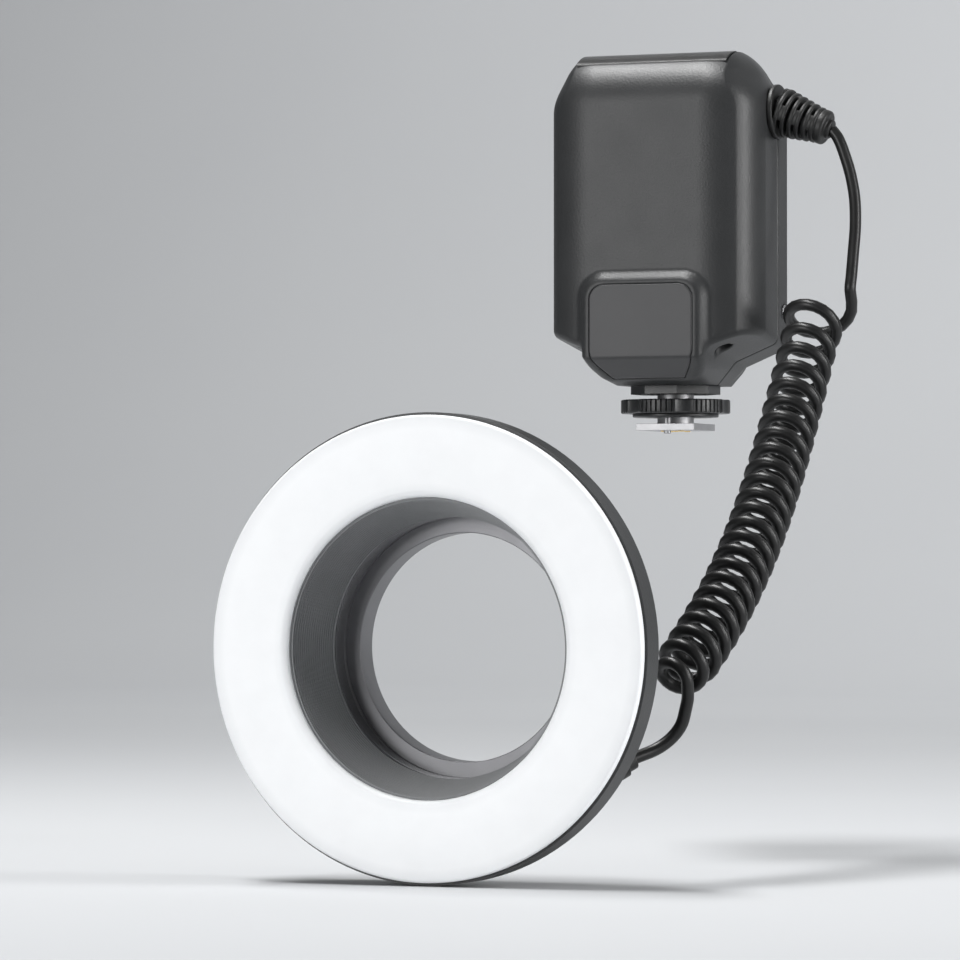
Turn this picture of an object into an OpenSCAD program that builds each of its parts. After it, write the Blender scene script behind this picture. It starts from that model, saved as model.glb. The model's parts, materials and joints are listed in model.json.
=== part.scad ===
// Macro ring flash: a control unit on a shoe foot, a ring head, and the curly cord between them.
// Millimetres. The origin is the middle of the foot's underside, +Z is up, the lamp looks along -Y.

/* [Control unit shells] */
// Width of the control unit
unit_w = 67; // [65:1:72]
// Front face, ahead of the shoe's axis
unit_front = 27; // [27:0.5:30]
// Rear edge of the shells, behind the shoe's axis
unit_rear = 8; // [8:0.5:10]
// Joint between the two shells, ahead of the shoe's axis
seam_front = 2; // [1:0.5:3]
// Top of the unit, above the foot's underside
unit_top = 113; // [112:1:118]
// Wall of both shells
shell_wall = 2; // [1.6:0.1:2.2]
// Radius of the upright front corners
corner_r = 12; // [10:0.5:12.5]
// Radius of the upright rear corners
rear_corner_r = 2; // [1:0.5:2]
// Radius of the fillet along the front's top edge
top_fillet_r = 16; // [14:0.5:17]
// Radius of the arc by which the top falls towards the rear
top_fall_r = 30; // [28:1:40]
// Radius of the top corners, seen from the front
shoulder_r = 10; // [8:0.5:11.5]
// Height of the underside at the edge of the pod, on the front face
under_z = 24.6; // [24:0.2:26]
// Angle by which the underside rises towards each side
under_side_tilt = 22.8; // [18:0.2:25]
// Angle by which the underside rises towards the front
under_front_tilt = 9.6; // [8:0.2:12]
// Floor of the space inside the shells
cavity_floor = 26; // [25:0.5:27]

/* [Pod, window and neck] */
// Width of the pod around the focus window
pod_w = 40; // [38:0.5:44]
// Front of the pod, ahead of the unit's front face
pod_proud = 2.5; // [2:0.25:3.5]
// Top of the pod
pod_top = 46; // [45:0.5:48]
// Radius of the pod's top corners
pod_r = 7; // [5:0.5:8]
// Width of the focus window
window_w = 32.8; // [30:0.2:34]
// Top of the focus window
window_top = 43; // [41.4:0.2:43]
// Radius of the window's top corners
window_r = 4.5; // [3:0.5:6]
// Thickness of the window
window_t = 1.8; // [1.4:0.1:2]
// Height of the crease between the window's upright face and its lower facet
crease_z = 21; // [20.5:0.25:22]
// Angle of the lower facet from upright
facet_tilt = 50; // [45:1:52]
// Lower end of the window's facet
facet_low_z = 15.2; // [14.8:0.2:16]
// Width of the neck where it meets the collar
neck_w = 28; // [27:0.5:30]
// Depth of the neck ahead of the shoe's axis, where it meets the collar
neck_front = 14; // [13:0.5:15]
// Depth of the neck behind the shoe's axis
neck_rear = 11; // [11:0.5:12]

/* [Shoe foot and lock] */
// Width of the shoe foot, a standard accessory shoe
foot_w = 18.6; // [18.6]
// Length of the shoe foot
foot_l = 18; // [17.5:0.1:18.2]
// Thickness of the shoe foot
foot_t = 2; // [1.9:0.05:2.05]
// Radius of the stem above the foot
stem_r = 5.5; // [5:0.1:5.6]
// Diameter of the lock wheel
wheel_d = 33; // [30:0.5:36]
// Thickness of the lock wheel
wheel_t = 4.2; // [3.6:0.1:4.3]
// Thickness of the clamp plate under the wheel
clamp_t = 1.1; // [1:0.1:1.2]
// Diameter of the clamp plate
clamp_d = 26; // [24:0.5:28]
// Room for the camera's rails between the foot and the clamp plate
rail_gap = 2; // [2:0.05:2.1]
// Travel of the lock, upwards
lock_travel = 1.5; // [1.2:0.1:1.5]
// Width of the eight-sided collar across its flats
collar_w = 25; // [25:0.5:30]
// Thickness of the collar
collar_t = 2.5; // [2.2:0.1:3]
// Radius of the lock pin
lock_pin_r = 1.1; // [0.9:0.05:1.15]
// How far the lock pin stands out below the foot
lock_pin_out = 1; // [0.8:0.1:1.4]
// Radius of a contact pin
contact_r = 1; // [0.8:0.05:1.05]
// How far the contacts stand out below the foot
contact_out = 0.35; // [0.3:0.05:0.4]

/* [Battery bay] */
// Radius of a battery cell
cell_r = 7; // [6.9:0.05:7.1]
// Length of a cell's can
cell_l = 48.5; // [48:0.5:49]
// Distance between neighbouring cells
cell_pitch = 15; // [14.9:0.1:15.2]
// Height of the lowest cell
cell_z = 42; // [41:0.5:43]
// Cells' axis, ahead of the shoe's axis
cell_front = 6; // [6:0.1:6.4]
// Wall of the tray around the cells
tray_wall = 1; // [0.8:0.1:1.2]
// Thickness of the battery door
door_t = 1.8; // [1.6:0.1:1.8]
// Length of the battery door
door_l = 62.6; // [61:0.2:63]
// Front edge of the battery door, ahead of the shoe's axis
door_front = 14.3; // [14:0.1:14.6]
// Hinge's axis of the battery door, behind the shoe's axis
hinge_rear = 3; // [2.6:0.1:3]
// Radius of the door's hinge pin
hinge_pin_r = 0.8; // [0.6:0.05:0.9]
// Radius of the door's knuckle
knuckle_r = 1.7; // [1.5:0.05:1.75]

/* [Rear panel] */
// Width of the raised control panel
panel_w = 56; // [54:0.5:58]
// Top of the control panel
panel_top = 95; // [94.5:0.5:97]
// Bottom of the control panel
panel_low = 33; // [32:0.5:33]
// Rear face of the control panel, behind the shoe's axis
panel_rear = 14; // [13.6:0.2:15]
// Wall of the control panel
panel_wall = 1.8; // [1.6:0.1:2]
// Size of the display's window across
display_w = 40; // [36:0.5:42]
// Size of the display's window upwards
display_h = 26; // [24:0.5:26]
// Travel of the keys and buttons
key_travel = 0.8; // [0.6:0.1:0.9]
// Width of a key
key_w = 10; // [8:0.5:10.5]
// Height of a key
key_h = 4.6; // [4:0.2:5]
// Radius of the control dial
dial_r = 10.5; // [9:0.25:10.5]
// Radius of the set button
set_r = 4.6; // [4:0.1:4.8]
// Radius of the test button
test_r = 3; // [2.5:0.1:3.2]
// Travel of the power switch
switch_travel = 4; // [3:0.5:4.5]

/* [Cord fittings] */
// Diameter of the cord
cord_d = 3.5; // [3:0.1:3.8]
// Height of the cord boot on the unit's side
boot_z = 95; // [94:0.5:96]
// Boot's axis, ahead of the shoe's axis
boot_front = 4; // [3:0.5:5]
// Diameter of the boot's flange
boot_d = 16.4; // [15:0.2:17]
// Diameter of the boot's nose
boot_nose_d = 10.5; // [9:0.25:12]
// Length of the boot, from its flange to the cord
boot_l = 19; // [18:0.5:20]
// Angle by which the boot droops
boot_droop = 20; // [16:1:24]
// Ribs on the boot
boot_ribs = 6; // [4:1:7]
// Radius of the sync socket's bore
jack_bore_r = 1.3; // [1.27:0.01:1.35]
// Depth of the sync socket's bore
jack_depth = 8; // [7:0.5:8]

/* [Ring head] */
// Height of the ring's axis, below the foot's underside
ring_drop = 63; // [60:0.5:66]
// Front of the ring, ahead of the shoe's axis
ring_front = 190; // [186:1:194]
// Width of the ring's lit band, from the opening to the outer wall
band_w = 23; // [22:0.25:25]
// Depth of the ring, from its front to its rear face
ring_depth = 26; // [25.5:0.25:27]
// Diameter of the opening at the front
mouth_d = 82; // [81:0.5:83]
// Depth of the diffuser's rim, which shows ahead of the outer wall
rim_depth = 2.2; // [2:0.1:2.6]
// Depth of the diffuser's skirts inside the ring
skirt_depth = 6.5; // [6:0.25:7]
// Rounding of the diffuser's edge round the opening
mouth_lip = 2; // [1.6:0.1:2]
// Depth of the straight outer wall
wall_depth = 10.5; // [10:0.25:11]
// How far the outer wall draws in towards the rear face
rear_taper = 7; // [5:0.25:8]
// Wall of the ring's pieces
ring_wall = 2; // [1.8:0.1:2.2]
// Steps in the baffle's bore
baffle_steps = 20; // [12:1:24]
// Diameter of a light tube
tube_d = 4.4; // [4:0.2:5]
// Lamps on the lamp board
lamp_count = 24; // [12:2:36]
// Travel of the release sliders
latch_travel = 1.6; // [1.4:0.1:1.6]

/* [Adapter ring] */
// Nominal diameter of the adapter's lens thread
thread_d = 67; // [67]
// Length of the adapter's thread
thread_l = 6; // [5:0.25:6.5]
// Wall of the adapter's threaded sleeve
sleeve_wall = 2; // [1.6:0.1:2.4]
// How far the adapter's cup reaches behind the ring's rear face
cup_depth = 2.4; // [2:0.2:3]
// How far the adapter's flange stands out beyond its thread
flange_out = 6.1; // [6:0.1:6.3]

/* [Curly cord] */
// Curls in the cord
curls = 24; // [20:1:24]
// Mean radius of the curls
curl_r = 6.9; // [6.5:0.1:7.2]

/* [Hidden] */
$fn = 64;

fit = 0.2;            // room around pieces that move or drop in
slip = 0.06;          // running clearance of a pin
far = 400;            // longer than anything that is cut
body_black = [0.16, 0.16, 0.17];
trim_black = [0.09, 0.09, 0.1];
steel = [0.72, 0.72, 0.74];

half_w = unit_w / 2;
front_y = -unit_front;
rear_y = unit_rear;
seam_y = -seam_front;
fillet_y = front_y + top_fillet_r;
fillet_z = unit_top - top_fillet_r;
pod_y = front_y - pod_proud;
neck_z = foot_t + rail_gap + clamp_t + wheel_t + lock_travel + 0.1 + collar_t;
facet_low_y = pod_y + (crease_z - facet_low_z) * tan(facet_tilt);

clamp_z = foot_t + rail_gap;
wheel_z = clamp_z + clamp_t;
collar_z = neck_z - collar_t;
lock_pin_y = -(stem_r + lock_pin_r + 0.3);
screw_xy = 7.4;       // shoe screws, from the axis along both ways
screw_r = 0.9;
screw_head_r = 1.7;
screw_head_t = 1.2;
shoe_screw_top = 20;
shell_screw = [22, -18];
shell_screw_r = 1.25;
shell_screw_head_r = 2.3;
shell_screw_z = 27.8;
shell_screw_top = 35;

cell_y = -cell_front;
cell_count = 4;
cell_room = 0.3;
frame_t = 4.2;        // thickness of the frame around the battery door
bay_x = -half_w + frame_t + 0.3;
cell_x = bay_x + 0.3;
nub_l = 1.5;
tray_end = cell_x + cell_l + nub_l + 0.2 + 1.5 + 1.5;
contact_disc_r = cell_r - 3;
tray_half = cell_r + cell_room + tray_wall;
tray_low = cell_z - tray_half;
tray_high = cell_z + (cell_count - 1) * cell_pitch + tray_half;
bay_mid = (tray_low + tray_high) / 2;
door_low = bay_mid - door_l / 2;
hinge_x = -half_w + knuckle_r + 0.1;
hinge_y = hinge_rear;
door_latch = [1.25, 6.2, 12];

panel_face = panel_rear - panel_wall;
board_t = 1.4;
board_rear = panel_face - 4.4;
board_y = board_rear - board_t;
board_low = panel_low + 5;
board_high = panel_top - 4;
display_z = panel_top - 2.5 - display_h / 2;
key_z = display_z - display_h / 2 - 5.5;
key_step = 13;
key_proud = 0.9;
flange_t = 1;
dial_at = [9, 46];
dial_proud = 2.8;
hub_r = set_r + 2;
switch_at = [-15, 48.5];
switch_knob = [4.6, 4];
test_at = [-18, 39.5];
jack_at = [3.6, 35.5];
jack_r = 2;
jack_rim = 0.4;
jack_end = half_w + jack_rim - jack_depth - 0.8;
jack_room = 0.4;      // between the sync socket and the battery tray

boot_y = -boot_front;
boot_flange_t = 1.6;
boot_neck_r = 4;
boot_base = [half_w + boot_flange_t, boot_y, boot_z];
boot_dir = [cos(boot_droop), 0, -sin(boot_droop)];
boot_tip = boot_base + (boot_l - boot_flange_t) * boot_dir;

mouth_r = mouth_d / 2;
ring_r = mouth_r + band_w;
rear_r = ring_r - rear_taper;
flange_r = thread_d / 2 + flange_out;
throat_r = flange_r - 3.6;
rim_r = ring_r - 0.75;
seat_w = ring_depth - 4.5;          // where the adapter's seat starts, behind the front
seat_r = flange_r + 0.3;
baffle_end = seat_w - 0.3;
trough_in = mouth_r + 2.2;
trough_w = ring_depth - 9.2;         // back of the reflector, behind the ring's front
wall_draw = (rear_taper - ring_wall / 2) / (ring_depth - wall_depth - ring_wall / 2);
trough_out = ring_r - ring_wall - 0.4 - wall_draw * (trough_w - wall_depth + ring_wall / 2);
trough_t = 1.2;
tube_r = (trough_in + trough_out) / 2 + 1.8;
lamp_w = 2.6;
ring_y = -ring_front;
ring_z = -ring_drop;
latch_w = 14;
latch_outer = flange_r + 11.3;
latch_pad = [10, 6];
latch_pad_r = flange_r + 4.3;
latch_jaw_r = flange_r - 1;
latch_w0 = seat_w + 1.2;            // front of a release slider, behind the ring's front
latch_t = 1.6;
ring_screw_r = rear_r - 7;
ring_screw_turns = [30, 150, 210, 330];
gland_r = 3.6;
gland_l = 16;
gland_dir = [0.64, 0.6, 0.48];
gland_angle = -32;
gland_out = rear_r - 0.4;
gland_tip = [gland_out * cos(gland_angle), ring_y + ring_depth + 6.5, ring_z + gland_out * sin(gland_angle)];

// The curls wind round this curve, given by its four control points.
curl_axis = [[50, -12, 37], [54, -59, -13], [65, -106, -43], [57.5, -152, -72]];
// The curls' radius by turn: the first opens to the lead, the last closes on it.
curl_flare = [[0, curl_r + 3.3], [0.5, curl_r + 1.1], [1, curl_r + 0.4], [1.75, curl_r],
    [curls - 1.5, curl_r], [curls, curl_r - 2.5]];
first_open = 0.5;     // turns' worth of extra distance after the first curl
upper_route = [[53.6, -4.2, 86.2], [55.8, -4.6, 81], [57.8, -5.2, 75], [59.4, -6.4, 68], [60.2, -8.2, 60],
    [60.4, -10.6, 52], [60.6, -12.8, 45.5]];
lower_route = [[60.4, -150.2, -80], [59, -149.8, -84], [56.4, -150.6, -87.6], [52.8, -153, -90.6]];

// Flat outlines

module rounded(w, h, r) {
    square([w - 2 * r, h], center = true);
    square([w, h - 2 * r], center = true);
    for (x = [-1, 1], y = [-1, 1])
        translate([x * (w / 2 - r), y * (h / 2 - r)]) circle(r);
}

// Seen from above: round front corners, small rear corners. The inset i moves the outline inwards.
module plan_outline(i) {
    fr = corner_r - i;
    rr = max(rear_corner_r - i, 0.5);
    translate([-(half_w - i), front_y + i + fr])
        square([2 * (half_w - i), rear_y - front_y - 2 * i - fr - rr]);
    translate([-(half_w - i - fr), front_y + i]) square([2 * (half_w - i - fr), 2 * fr]);
    translate([-(half_w - i - rr), rear_y - i - 2 * rr]) square([2 * (half_w - i - rr), 2 * rr]);
    for (s = [-1, 1]) {
        translate([s * (half_w - i - fr), front_y + i + fr]) circle(fr);
        translate([s * (half_w - i - rr), rear_y - i - rr]) circle(rr);
    }
}

// Seen from the side: a fillet along the front's top edge, then a top that falls to the rear.
module side_outline(i) {
    translate([front_y + i, 0]) square([rear_y - front_y - 2 * i, fillet_z]);
    translate([fillet_y, fillet_z]) circle(top_fillet_r - i);
    intersection() {
        translate([fillet_y, fillet_z]) square([rear_y - i - fillet_y, top_fillet_r]);
        translate([fillet_y, unit_top - top_fall_r]) circle(top_fall_r - i);
    }
}

// Seen from the front: round top corners.
module front_outline(i) {
    translate([-(half_w - i), 0]) square([2 * (half_w - i), unit_top - shoulder_r]);
    translate([-(half_w - shoulder_r), 0]) square([2 * (half_w - shoulder_r), unit_top - i]);
    for (s = [-1, 1])
        translate([s * (half_w - shoulder_r), unit_top - shoulder_r]) circle(shoulder_r - i);
}

module pod_outline() {
    w = pod_w / 2;
    bend_z = crease_z - 1.5;
    polygon([[-neck_w / 2, neck_z], [neck_w / 2, neck_z], [w, bend_z], [w, pod_top - pod_r],
        [w - pod_r, pod_top], [-(w - pod_r), pod_top], [-w, pod_top - pod_r], [-w, bend_z]]);
    for (s = [-1, 1])
        translate([s * (w - pod_r), pod_top - pod_r]) circle(pod_r);
}

module pod_side() {
    polygon([[-neck_front, neck_z], [facet_low_y + 0.6, facet_low_z - 0.5], [pod_y, crease_z],
        [pod_y, pod_top - pod_proud], [front_y, pod_top], [front_y + shell_wall, pod_top],
        [front_y + shell_wall, cavity_floor], [rear_y - 1, cavity_floor], [rear_y - 1, panel_low - 2],
        [neck_rear + 2, cavity_floor - 1], [neck_rear, neck_z]]);
}

module window_outline(room) {
    w = window_w / 2 + room;
    r = window_r + room;
    top = window_top + room;
    low = facet_low_z - room;
    polygon([[-w, crease_z], [-(w - 5), low], [w - 5, low], [w, crease_z], [w, top - r], [w - r, top],
        [-(w - r), top], [-w, top - r]]);
    for (s = [-1, 1])
        translate([s * (w - r), top - r]) circle(r);
}

// The window's upright face and lower facet as a bent strip of thickness t, seen from the side.
module window_side(t, room) {
    mitre = t * tan(facet_tilt / 2);
    low_z = facet_low_z - room;
    low_y = pod_y + (crease_z - low_z) * tan(facet_tilt);
    polygon([[low_y, low_z], [pod_y, crease_z], [pod_y, far], [pod_y + t, far], [pod_y + t, crease_z + mitre],
        [low_y + t * cos(facet_tilt), low_z + t * sin(facet_tilt)]]);
}

// Placing shapes

module along_x(l) { rotate([90, 0, 90]) linear_extrude(l, center = true) children(); }
module along_y(l) { rotate([90, 0, 0]) linear_extrude(l, center = true) children(); }
// Stands a flat outline on the rear panel: its first axis is X, its second -Z, and it rises along +Y.
module from_panel(x, y, z) { translate([x, y, z]) rotate([-90, 0, 0]) children(); }
// The ring's own frame: the third axis runs from the ring's front to its rear.
module in_ring() { translate([0, ring_y, ring_z]) rotate([-90, 0, 0]) children(); }
module towards(dir) { rotate([0, acos(dir.z / norm(dir)), atan2(dir.y, dir.x)]) children(); }
module four_corners(d) { for (x = [-d, d], y = [-d, d]) translate([x, y, 0]) children(); }

// The control unit's body

module under_cut(i) {
    a = tan(under_side_tilt);
    b = tan(under_front_tilt);
    tilt = -asin(b / sqrt(1 + a * a + b * b));
    for (s = [0, 1]) mirror([s, 0, 0])
        translate([pod_w / 2, front_y, under_z]) rotate([tilt, -under_side_tilt, 0])
            translate([-far / 2, -far / 2, i - far]) cube(far);
}

// Keeps the ridge of the underside within the pod, behind the window's facet.
module pod_room() {
    w = pod_w / 2 - 6;
    translate([-w, pod_y, 0]) cube([2 * w, 13, crease_z - pod_proud / tan(facet_tilt) + 0.3]);
}

module body(i) {
    difference() {
        intersection() {
            linear_extrude(unit_top) plan_outline(i);
            along_x(unit_w) side_outline(i);
            along_y(far) front_outline(i);
        }
        under_cut(i);
        pod_room();
        translate([-far / 2, -far / 2, neck_z - far]) cube(far);
    }
}

module pod() {
    intersection() {
        along_y(far) pod_outline();
        along_x(unit_w) pod_side();
    }
}

module cavity() {
    intersection() {
        body(shell_wall);
        translate([-far / 2, -far / 2, cavity_floor]) cube(far);
    }
}

module screw_bosses() {
    intersection() {
        body(0);
        for (s = [-1, 1])
            translate([s * shell_screw.x, shell_screw.y, 0]) cylinder(h = shell_screw_top + 1, r = 3);
    }
}

module door_frame() {
    y0 = -door_front - 1.5;
    intersection() {
        body(0);
        translate([-half_w, y0, door_low - 3.5])
            cube([frame_t, rear_y - shell_wall - y0, door_l + 7]);
    }
}

module door_openings() {
    room = fit / 2;
    translate([-half_w - 1, -door_front - fit, door_low - fit])
        cube([1 + door_t + 0.05, door_front + hinge_y + knuckle_r + 0.5 + fit, door_l + 2 * fit]);
    translate([hinge_x, hinge_y, door_low - fit]) cylinder(h = door_l + 2 * fit, r = knuckle_r + fit);
    translate([hinge_x, hinge_y, door_low - 3]) cylinder(h = door_l + 6, r = hinge_pin_r + 0.02);
    translate([-half_w - 1, cell_y - cell_r - room, tray_low + tray_wall])
        cube([frame_t + 2, 2 * (cell_r + room), tray_high - tray_low - 2 * tray_wall]);
}

module boot_hole() {
    translate([half_w, boot_y, boot_z]) rotate([0, 90, 0])
        cylinder(h = 20, r = boot_neck_r + 0.05, center = true);
}

module shoe_screw_holes() {
    four_corners(screw_xy) translate([0, 0, collar_z - 1])
        cylinder(h = shoe_screw_top + 1, r = screw_r + 0.05);
}

module unit_solid() {
    difference() {
        union() { body(0); pod(); }
        cavity();
    }
    screw_bosses();
    door_frame();
}

module unit_cuts() {
    door_openings();
    boot_hole();
    four_corners(screw_xy) translate([0, 0, neck_z - 1])
        cylinder(h = shoe_screw_top - neck_z + 1.2, r = screw_r + 0.05);
}

module front_shell() {
    color(body_black) difference() {
        unit_solid();
        unit_cuts();
        translate([-far / 2, seam_y, -far / 2]) cube(far);
        intersection() {
            along_y(far) window_outline(0.15);
            along_x(unit_w) window_side(window_t + 0.05, 0.15);
        }
        translate([0, 0, af_lamp_z()]) rotate([90, 0, 0]) cylinder(h = unit_front + pod_proud, r = 4.1);
        label_strip(0.15, 0.45);
        for (s = [-1, 1]) translate([s * shell_screw.x, shell_screw.y, 0]) {
            cylinder(h = shell_screw_z, r = shell_screw_head_r + 0.3);
            cylinder(h = shell_screw_top, r = shell_screw_r + 0.05);
        }
    }
}

module panel_block(inset, rear) {
    h = panel_top - panel_low - 2 * inset;
    from_panel(0, rear_y - shell_wall, (panel_top + panel_low) / 2)
        linear_extrude(rear - rear_y + shell_wall) rounded(panel_w - 2 * inset, h, 5 - inset);
}

module rear_cover() {
    color(body_black) difference() {
        union() {
            difference() {
                unit_solid();
                translate([-far / 2, seam_y - far, -far / 2]) cube(far);
            }
            panel_block(0, panel_rear);
        }
        unit_cuts();
        translate([0, -0.01, 0]) panel_block(panel_wall, panel_face + 0.01);
        from_panel(0, panel_rear - 1, display_z) linear_extrude(2)
            rounded(display_w + fit, display_h + fit, 2);
        from_panel(0, panel_face - 1, display_z) linear_extrude(3)
            rounded(display_w - 2, display_h - 2, 1.4);
        for (k = [0 : 3])
            from_panel(key_x(k), panel_face - 1, key_z) linear_extrude(4)
                rounded(key_w + 2 * fit, key_h + 2 * fit, 1.4);
        from_panel(dial_at.x, panel_face - 1, dial_at.y) cylinder(h = 4, r = hub_r + fit);
        from_panel(switch_at.x - switch_travel / 2, panel_face - 1, switch_at.y)
            linear_extrude(4) rounded(switch_knob.x + switch_travel + 2 * fit, switch_knob.y + 2 * fit, 1);
        from_panel(test_at.x, panel_face - 1, test_at.y) cylinder(h = 4, r = test_r + fit);
        translate([half_w, jack_at.x, jack_at.y]) rotate([0, 90, 0])
            cylinder(h = 20, r = jack_r + 0.05, center = true);
    }
}

// A strip along the upper half of the fillet above the front face.
module label_strip(room, t) {
    w = unit_w - 2 * shoulder_r + 1 + 2 * room;
    low_y = fillet_y - 0.6 * top_fillet_r - room;
    along_x(w) intersection() {
        translate([low_y, fillet_z]) square([fillet_y - 0.5 + room - low_y, far]);
        translate([fillet_y, fillet_z]) difference() {
            circle(top_fillet_r + room);
            circle(top_fillet_r - t);
        }
    }
}

module rating_plate() { color(trim_black) label_strip(0, 0.4); }

module af_window() {
    color([0.3, 0.3, 0.31]) intersection() {
        along_y(far) window_outline(0);
        along_x(unit_w) window_side(window_t, 0);
    }
}

function af_lamp_z() = (crease_z + window_top) / 2;

module af_lamp() {
    y = pod_y + window_t + 0.2;
    color([0.5, 0.05, 0.05]) translate([0, y, af_lamp_z()]) rotate([-90, 0, 0]) cylinder(h = 8, r = 4);
}

// The rear panel's pieces

function key_x(k) = (k - 1.5) * key_step;

module lcd_window() {
    color([0.1, 0.12, 0.12]) from_panel(0, panel_rear - 1, display_z)
        linear_extrude(1) rounded(display_w, display_h, 2);
}

module lcd_panel() {
    color([0.5, 0.56, 0.48]) from_panel(0, board_rear, display_z)
        linear_extrude(panel_face - fit - board_rear) rounded(display_w, display_h, 1);
}

module main_board() {
    w = panel_w - 2 * panel_wall - 2;
    color([0.1, 0.32, 0.16]) from_panel(0, board_y, (board_low + board_high) / 2)
        linear_extrude(board_t) rounded(w, board_high - board_low, 2);
}

// A cap that shows through the panel, a flange behind it, and a stem that stops short of the board.
module pressed_key() {
    stop = board_rear + key_travel + 0.1;
    from_panel(0, stop, 0) cylinder(h = panel_face - fit - stop, r = 1.6);
    from_panel(0, panel_face - fit - flange_t, 0) linear_extrude(flange_t) children(1);
    from_panel(0, panel_face - fit, 0) linear_extrude(panel_rear + key_proud - panel_face + fit) children(0);
}

module panel_key(k) {
    color(trim_black) translate([key_x(k), 0, key_z]) pressed_key() {
        rounded(key_w, key_h, 1.2);
        rounded(key_w + 1.6, key_h + 1.6, 1.2);
    }
}

module mode_key() { panel_key(0); }
module ratio_key() { panel_key(1); }
module group_key() { panel_key(2); }
module lamp_key() { panel_key(3); }

module test_button() {
    color([0.7, 0.12, 0.1]) translate([test_at.x, 0, test_at.y]) pressed_key() {
        circle(test_r);
        circle(test_r + 1);
    }
}

module control_dial() {
    teeth = 40;
    color(trim_black) from_panel(dial_at.x, 0, dial_at.y) difference() {
        union() {
            translate([0, 0, panel_rear + fit]) linear_extrude(dial_proud - fit) difference() {
                circle(dial_r);
                for (k = [0 : teeth - 1])
                    rotate(k * 360 / teeth) translate([dial_r, 0]) circle(0.35, $fn = 16);
            }
            translate([0, 0, panel_face - 1.8]) cylinder(h = panel_rear - panel_face + 1.8 + fit, r = hub_r);
            translate([0, 0, panel_face - 1.8]) cylinder(h = 1.6, r = hub_r + 1.4);
        }
        cylinder(h = far, r = set_r + fit);
    }
}

module set_button() {
    stop = board_rear + key_travel + 0.1;
    lip = panel_face - 1.8 - 0.3;
    color(trim_black) from_panel(dial_at.x, 0, dial_at.y) {
        translate([0, 0, lip - flange_t])
            cylinder(h = panel_rear + dial_proud + 0.4 - lip + flange_t, r = set_r);
        translate([0, 0, lip - flange_t]) cylinder(h = flange_t, r = set_r + 1);
        translate([0, 0, stop]) cylinder(h = lip - flange_t - stop, r = 1.6);
    }
}

module power_switch() {
    plate = [switch_knob.x + switch_travel + 5, switch_knob.y + 3];
    color(trim_black) translate([switch_at.x, 0, switch_at.y]) {
        from_panel(0, panel_face - fit - flange_t, 0) linear_extrude(flange_t) rounded(plate.x, plate.y, 1);
        from_panel(0, panel_face - fit, 0) linear_extrude(panel_rear + 1.2 - panel_face + fit)
            rounded(switch_knob.x, switch_knob.y, 0.8);
    }
}

module sync_jack() {
    color(steel) translate([half_w + jack_rim, jack_at.x, jack_at.y]) rotate([0, -90, 0]) difference() {
        cylinder(h = half_w + jack_rim - jack_end, r = jack_r);
        translate([0, 0, -1]) cylinder(h = jack_depth + 1, r = jack_bore_r);
    }
}

// The battery bay

module in_bay() {
    for (k = [0 : cell_count - 1])
        translate([0, cell_y, cell_z + k * cell_pitch]) rotate([0, 90, 0]) children();
}

module battery_tray() {
    post_r = 2;
    color([0.13, 0.13, 0.13]) {
        difference() {
            translate([bay_x, cell_y - tray_half, tray_low])
                cube([tray_end - bay_x, 2 * tray_half, tray_high - tray_low]);
            in_bay() translate([0, 0, bay_x - 1])
                cylinder(h = tray_end - bay_x - 0.5, r = cell_r + cell_room);
            translate([jack_end, jack_at.x - jack_r, jack_at.y - jack_r] - [1, 1, 1] * jack_room)
                cube([far, far, 2 * (jack_r + jack_room)]);
        }
        for (x = [-8, 8]) translate([x, cell_y, cavity_floor]) cylinder(h = tray_low - cavity_floor, r = 3);
        for (x = [-20, 20], z = [board_low + 6, board_high - 6])
            translate([x, cell_y + tray_half, z]) rotate([-90, 0, 0])
                cylinder(h = board_y - cell_y - tray_half, r = post_r);
    }
}

module battery_cells() {
    color([0.75, 0.6, 0.25]) in_bay() translate([0, 0, cell_x]) {
        cylinder(h = cell_l, r = cell_r);
        cylinder(h = cell_l + nub_l, r = 2.7);
    }
}

module battery_contacts() {
    color(steel) in_bay() translate([0, 0, tray_end - 3]) cylinder(h = 1.5, r = contact_disc_r);
}

module battery_door() {
    color(body_black) difference() {
        union() {
            translate([-half_w, -door_front, door_low]) cube([door_t, door_front + hinge_y, door_l]);
            translate([hinge_x, hinge_y, door_low]) cylinder(h = door_l, r = knuckle_r);
        }
        translate([hinge_x, hinge_y, door_low - 1]) cylinder(h = door_l + 2, r = hinge_pin_r + slip);
        translate([-half_w - 1, latch_y() - fit, bay_mid - door_latch.z / 2 - fit])
            cube([1 + 0.9, door_latch.y + 2 + 2 * fit, door_latch.z + 2 * fit]);
    }
}

function latch_y() = -door_front + 0.9;

module battery_latch() {
    color(trim_black) translate([-half_w - 0.4, latch_y(), bay_mid - door_latch.z / 2]) difference() {
        cube(door_latch);
        for (k = [0 : 3]) translate([-1, 1.1 + 1.2 * k, 1]) cube([1.25, 0.5, door_latch.z - 2]);
    }
}

// Two bridging strips on the inside of the door, with a stub for each cell.
module door_contacts() {
    x = -half_w + door_t;
    color(steel) {
        for (k = [0, 2])
            translate([x, cell_y - contact_disc_r, cell_z + k * cell_pitch - contact_disc_r])
                cube([0.5, 2 * contact_disc_r, cell_pitch + 2 * contact_disc_r]);
        in_bay() translate([0, 0, x + 0.5])
            cylinder(h = cell_x - 0.3 - x - 0.5, r1 = contact_disc_r - 1, r2 = contact_disc_r - 2);
    }
}

module door_pin() {
    color(steel) translate([hinge_x, hinge_y, door_low - 3]) cylinder(h = door_l + 6, r = hinge_pin_r);
}

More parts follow.
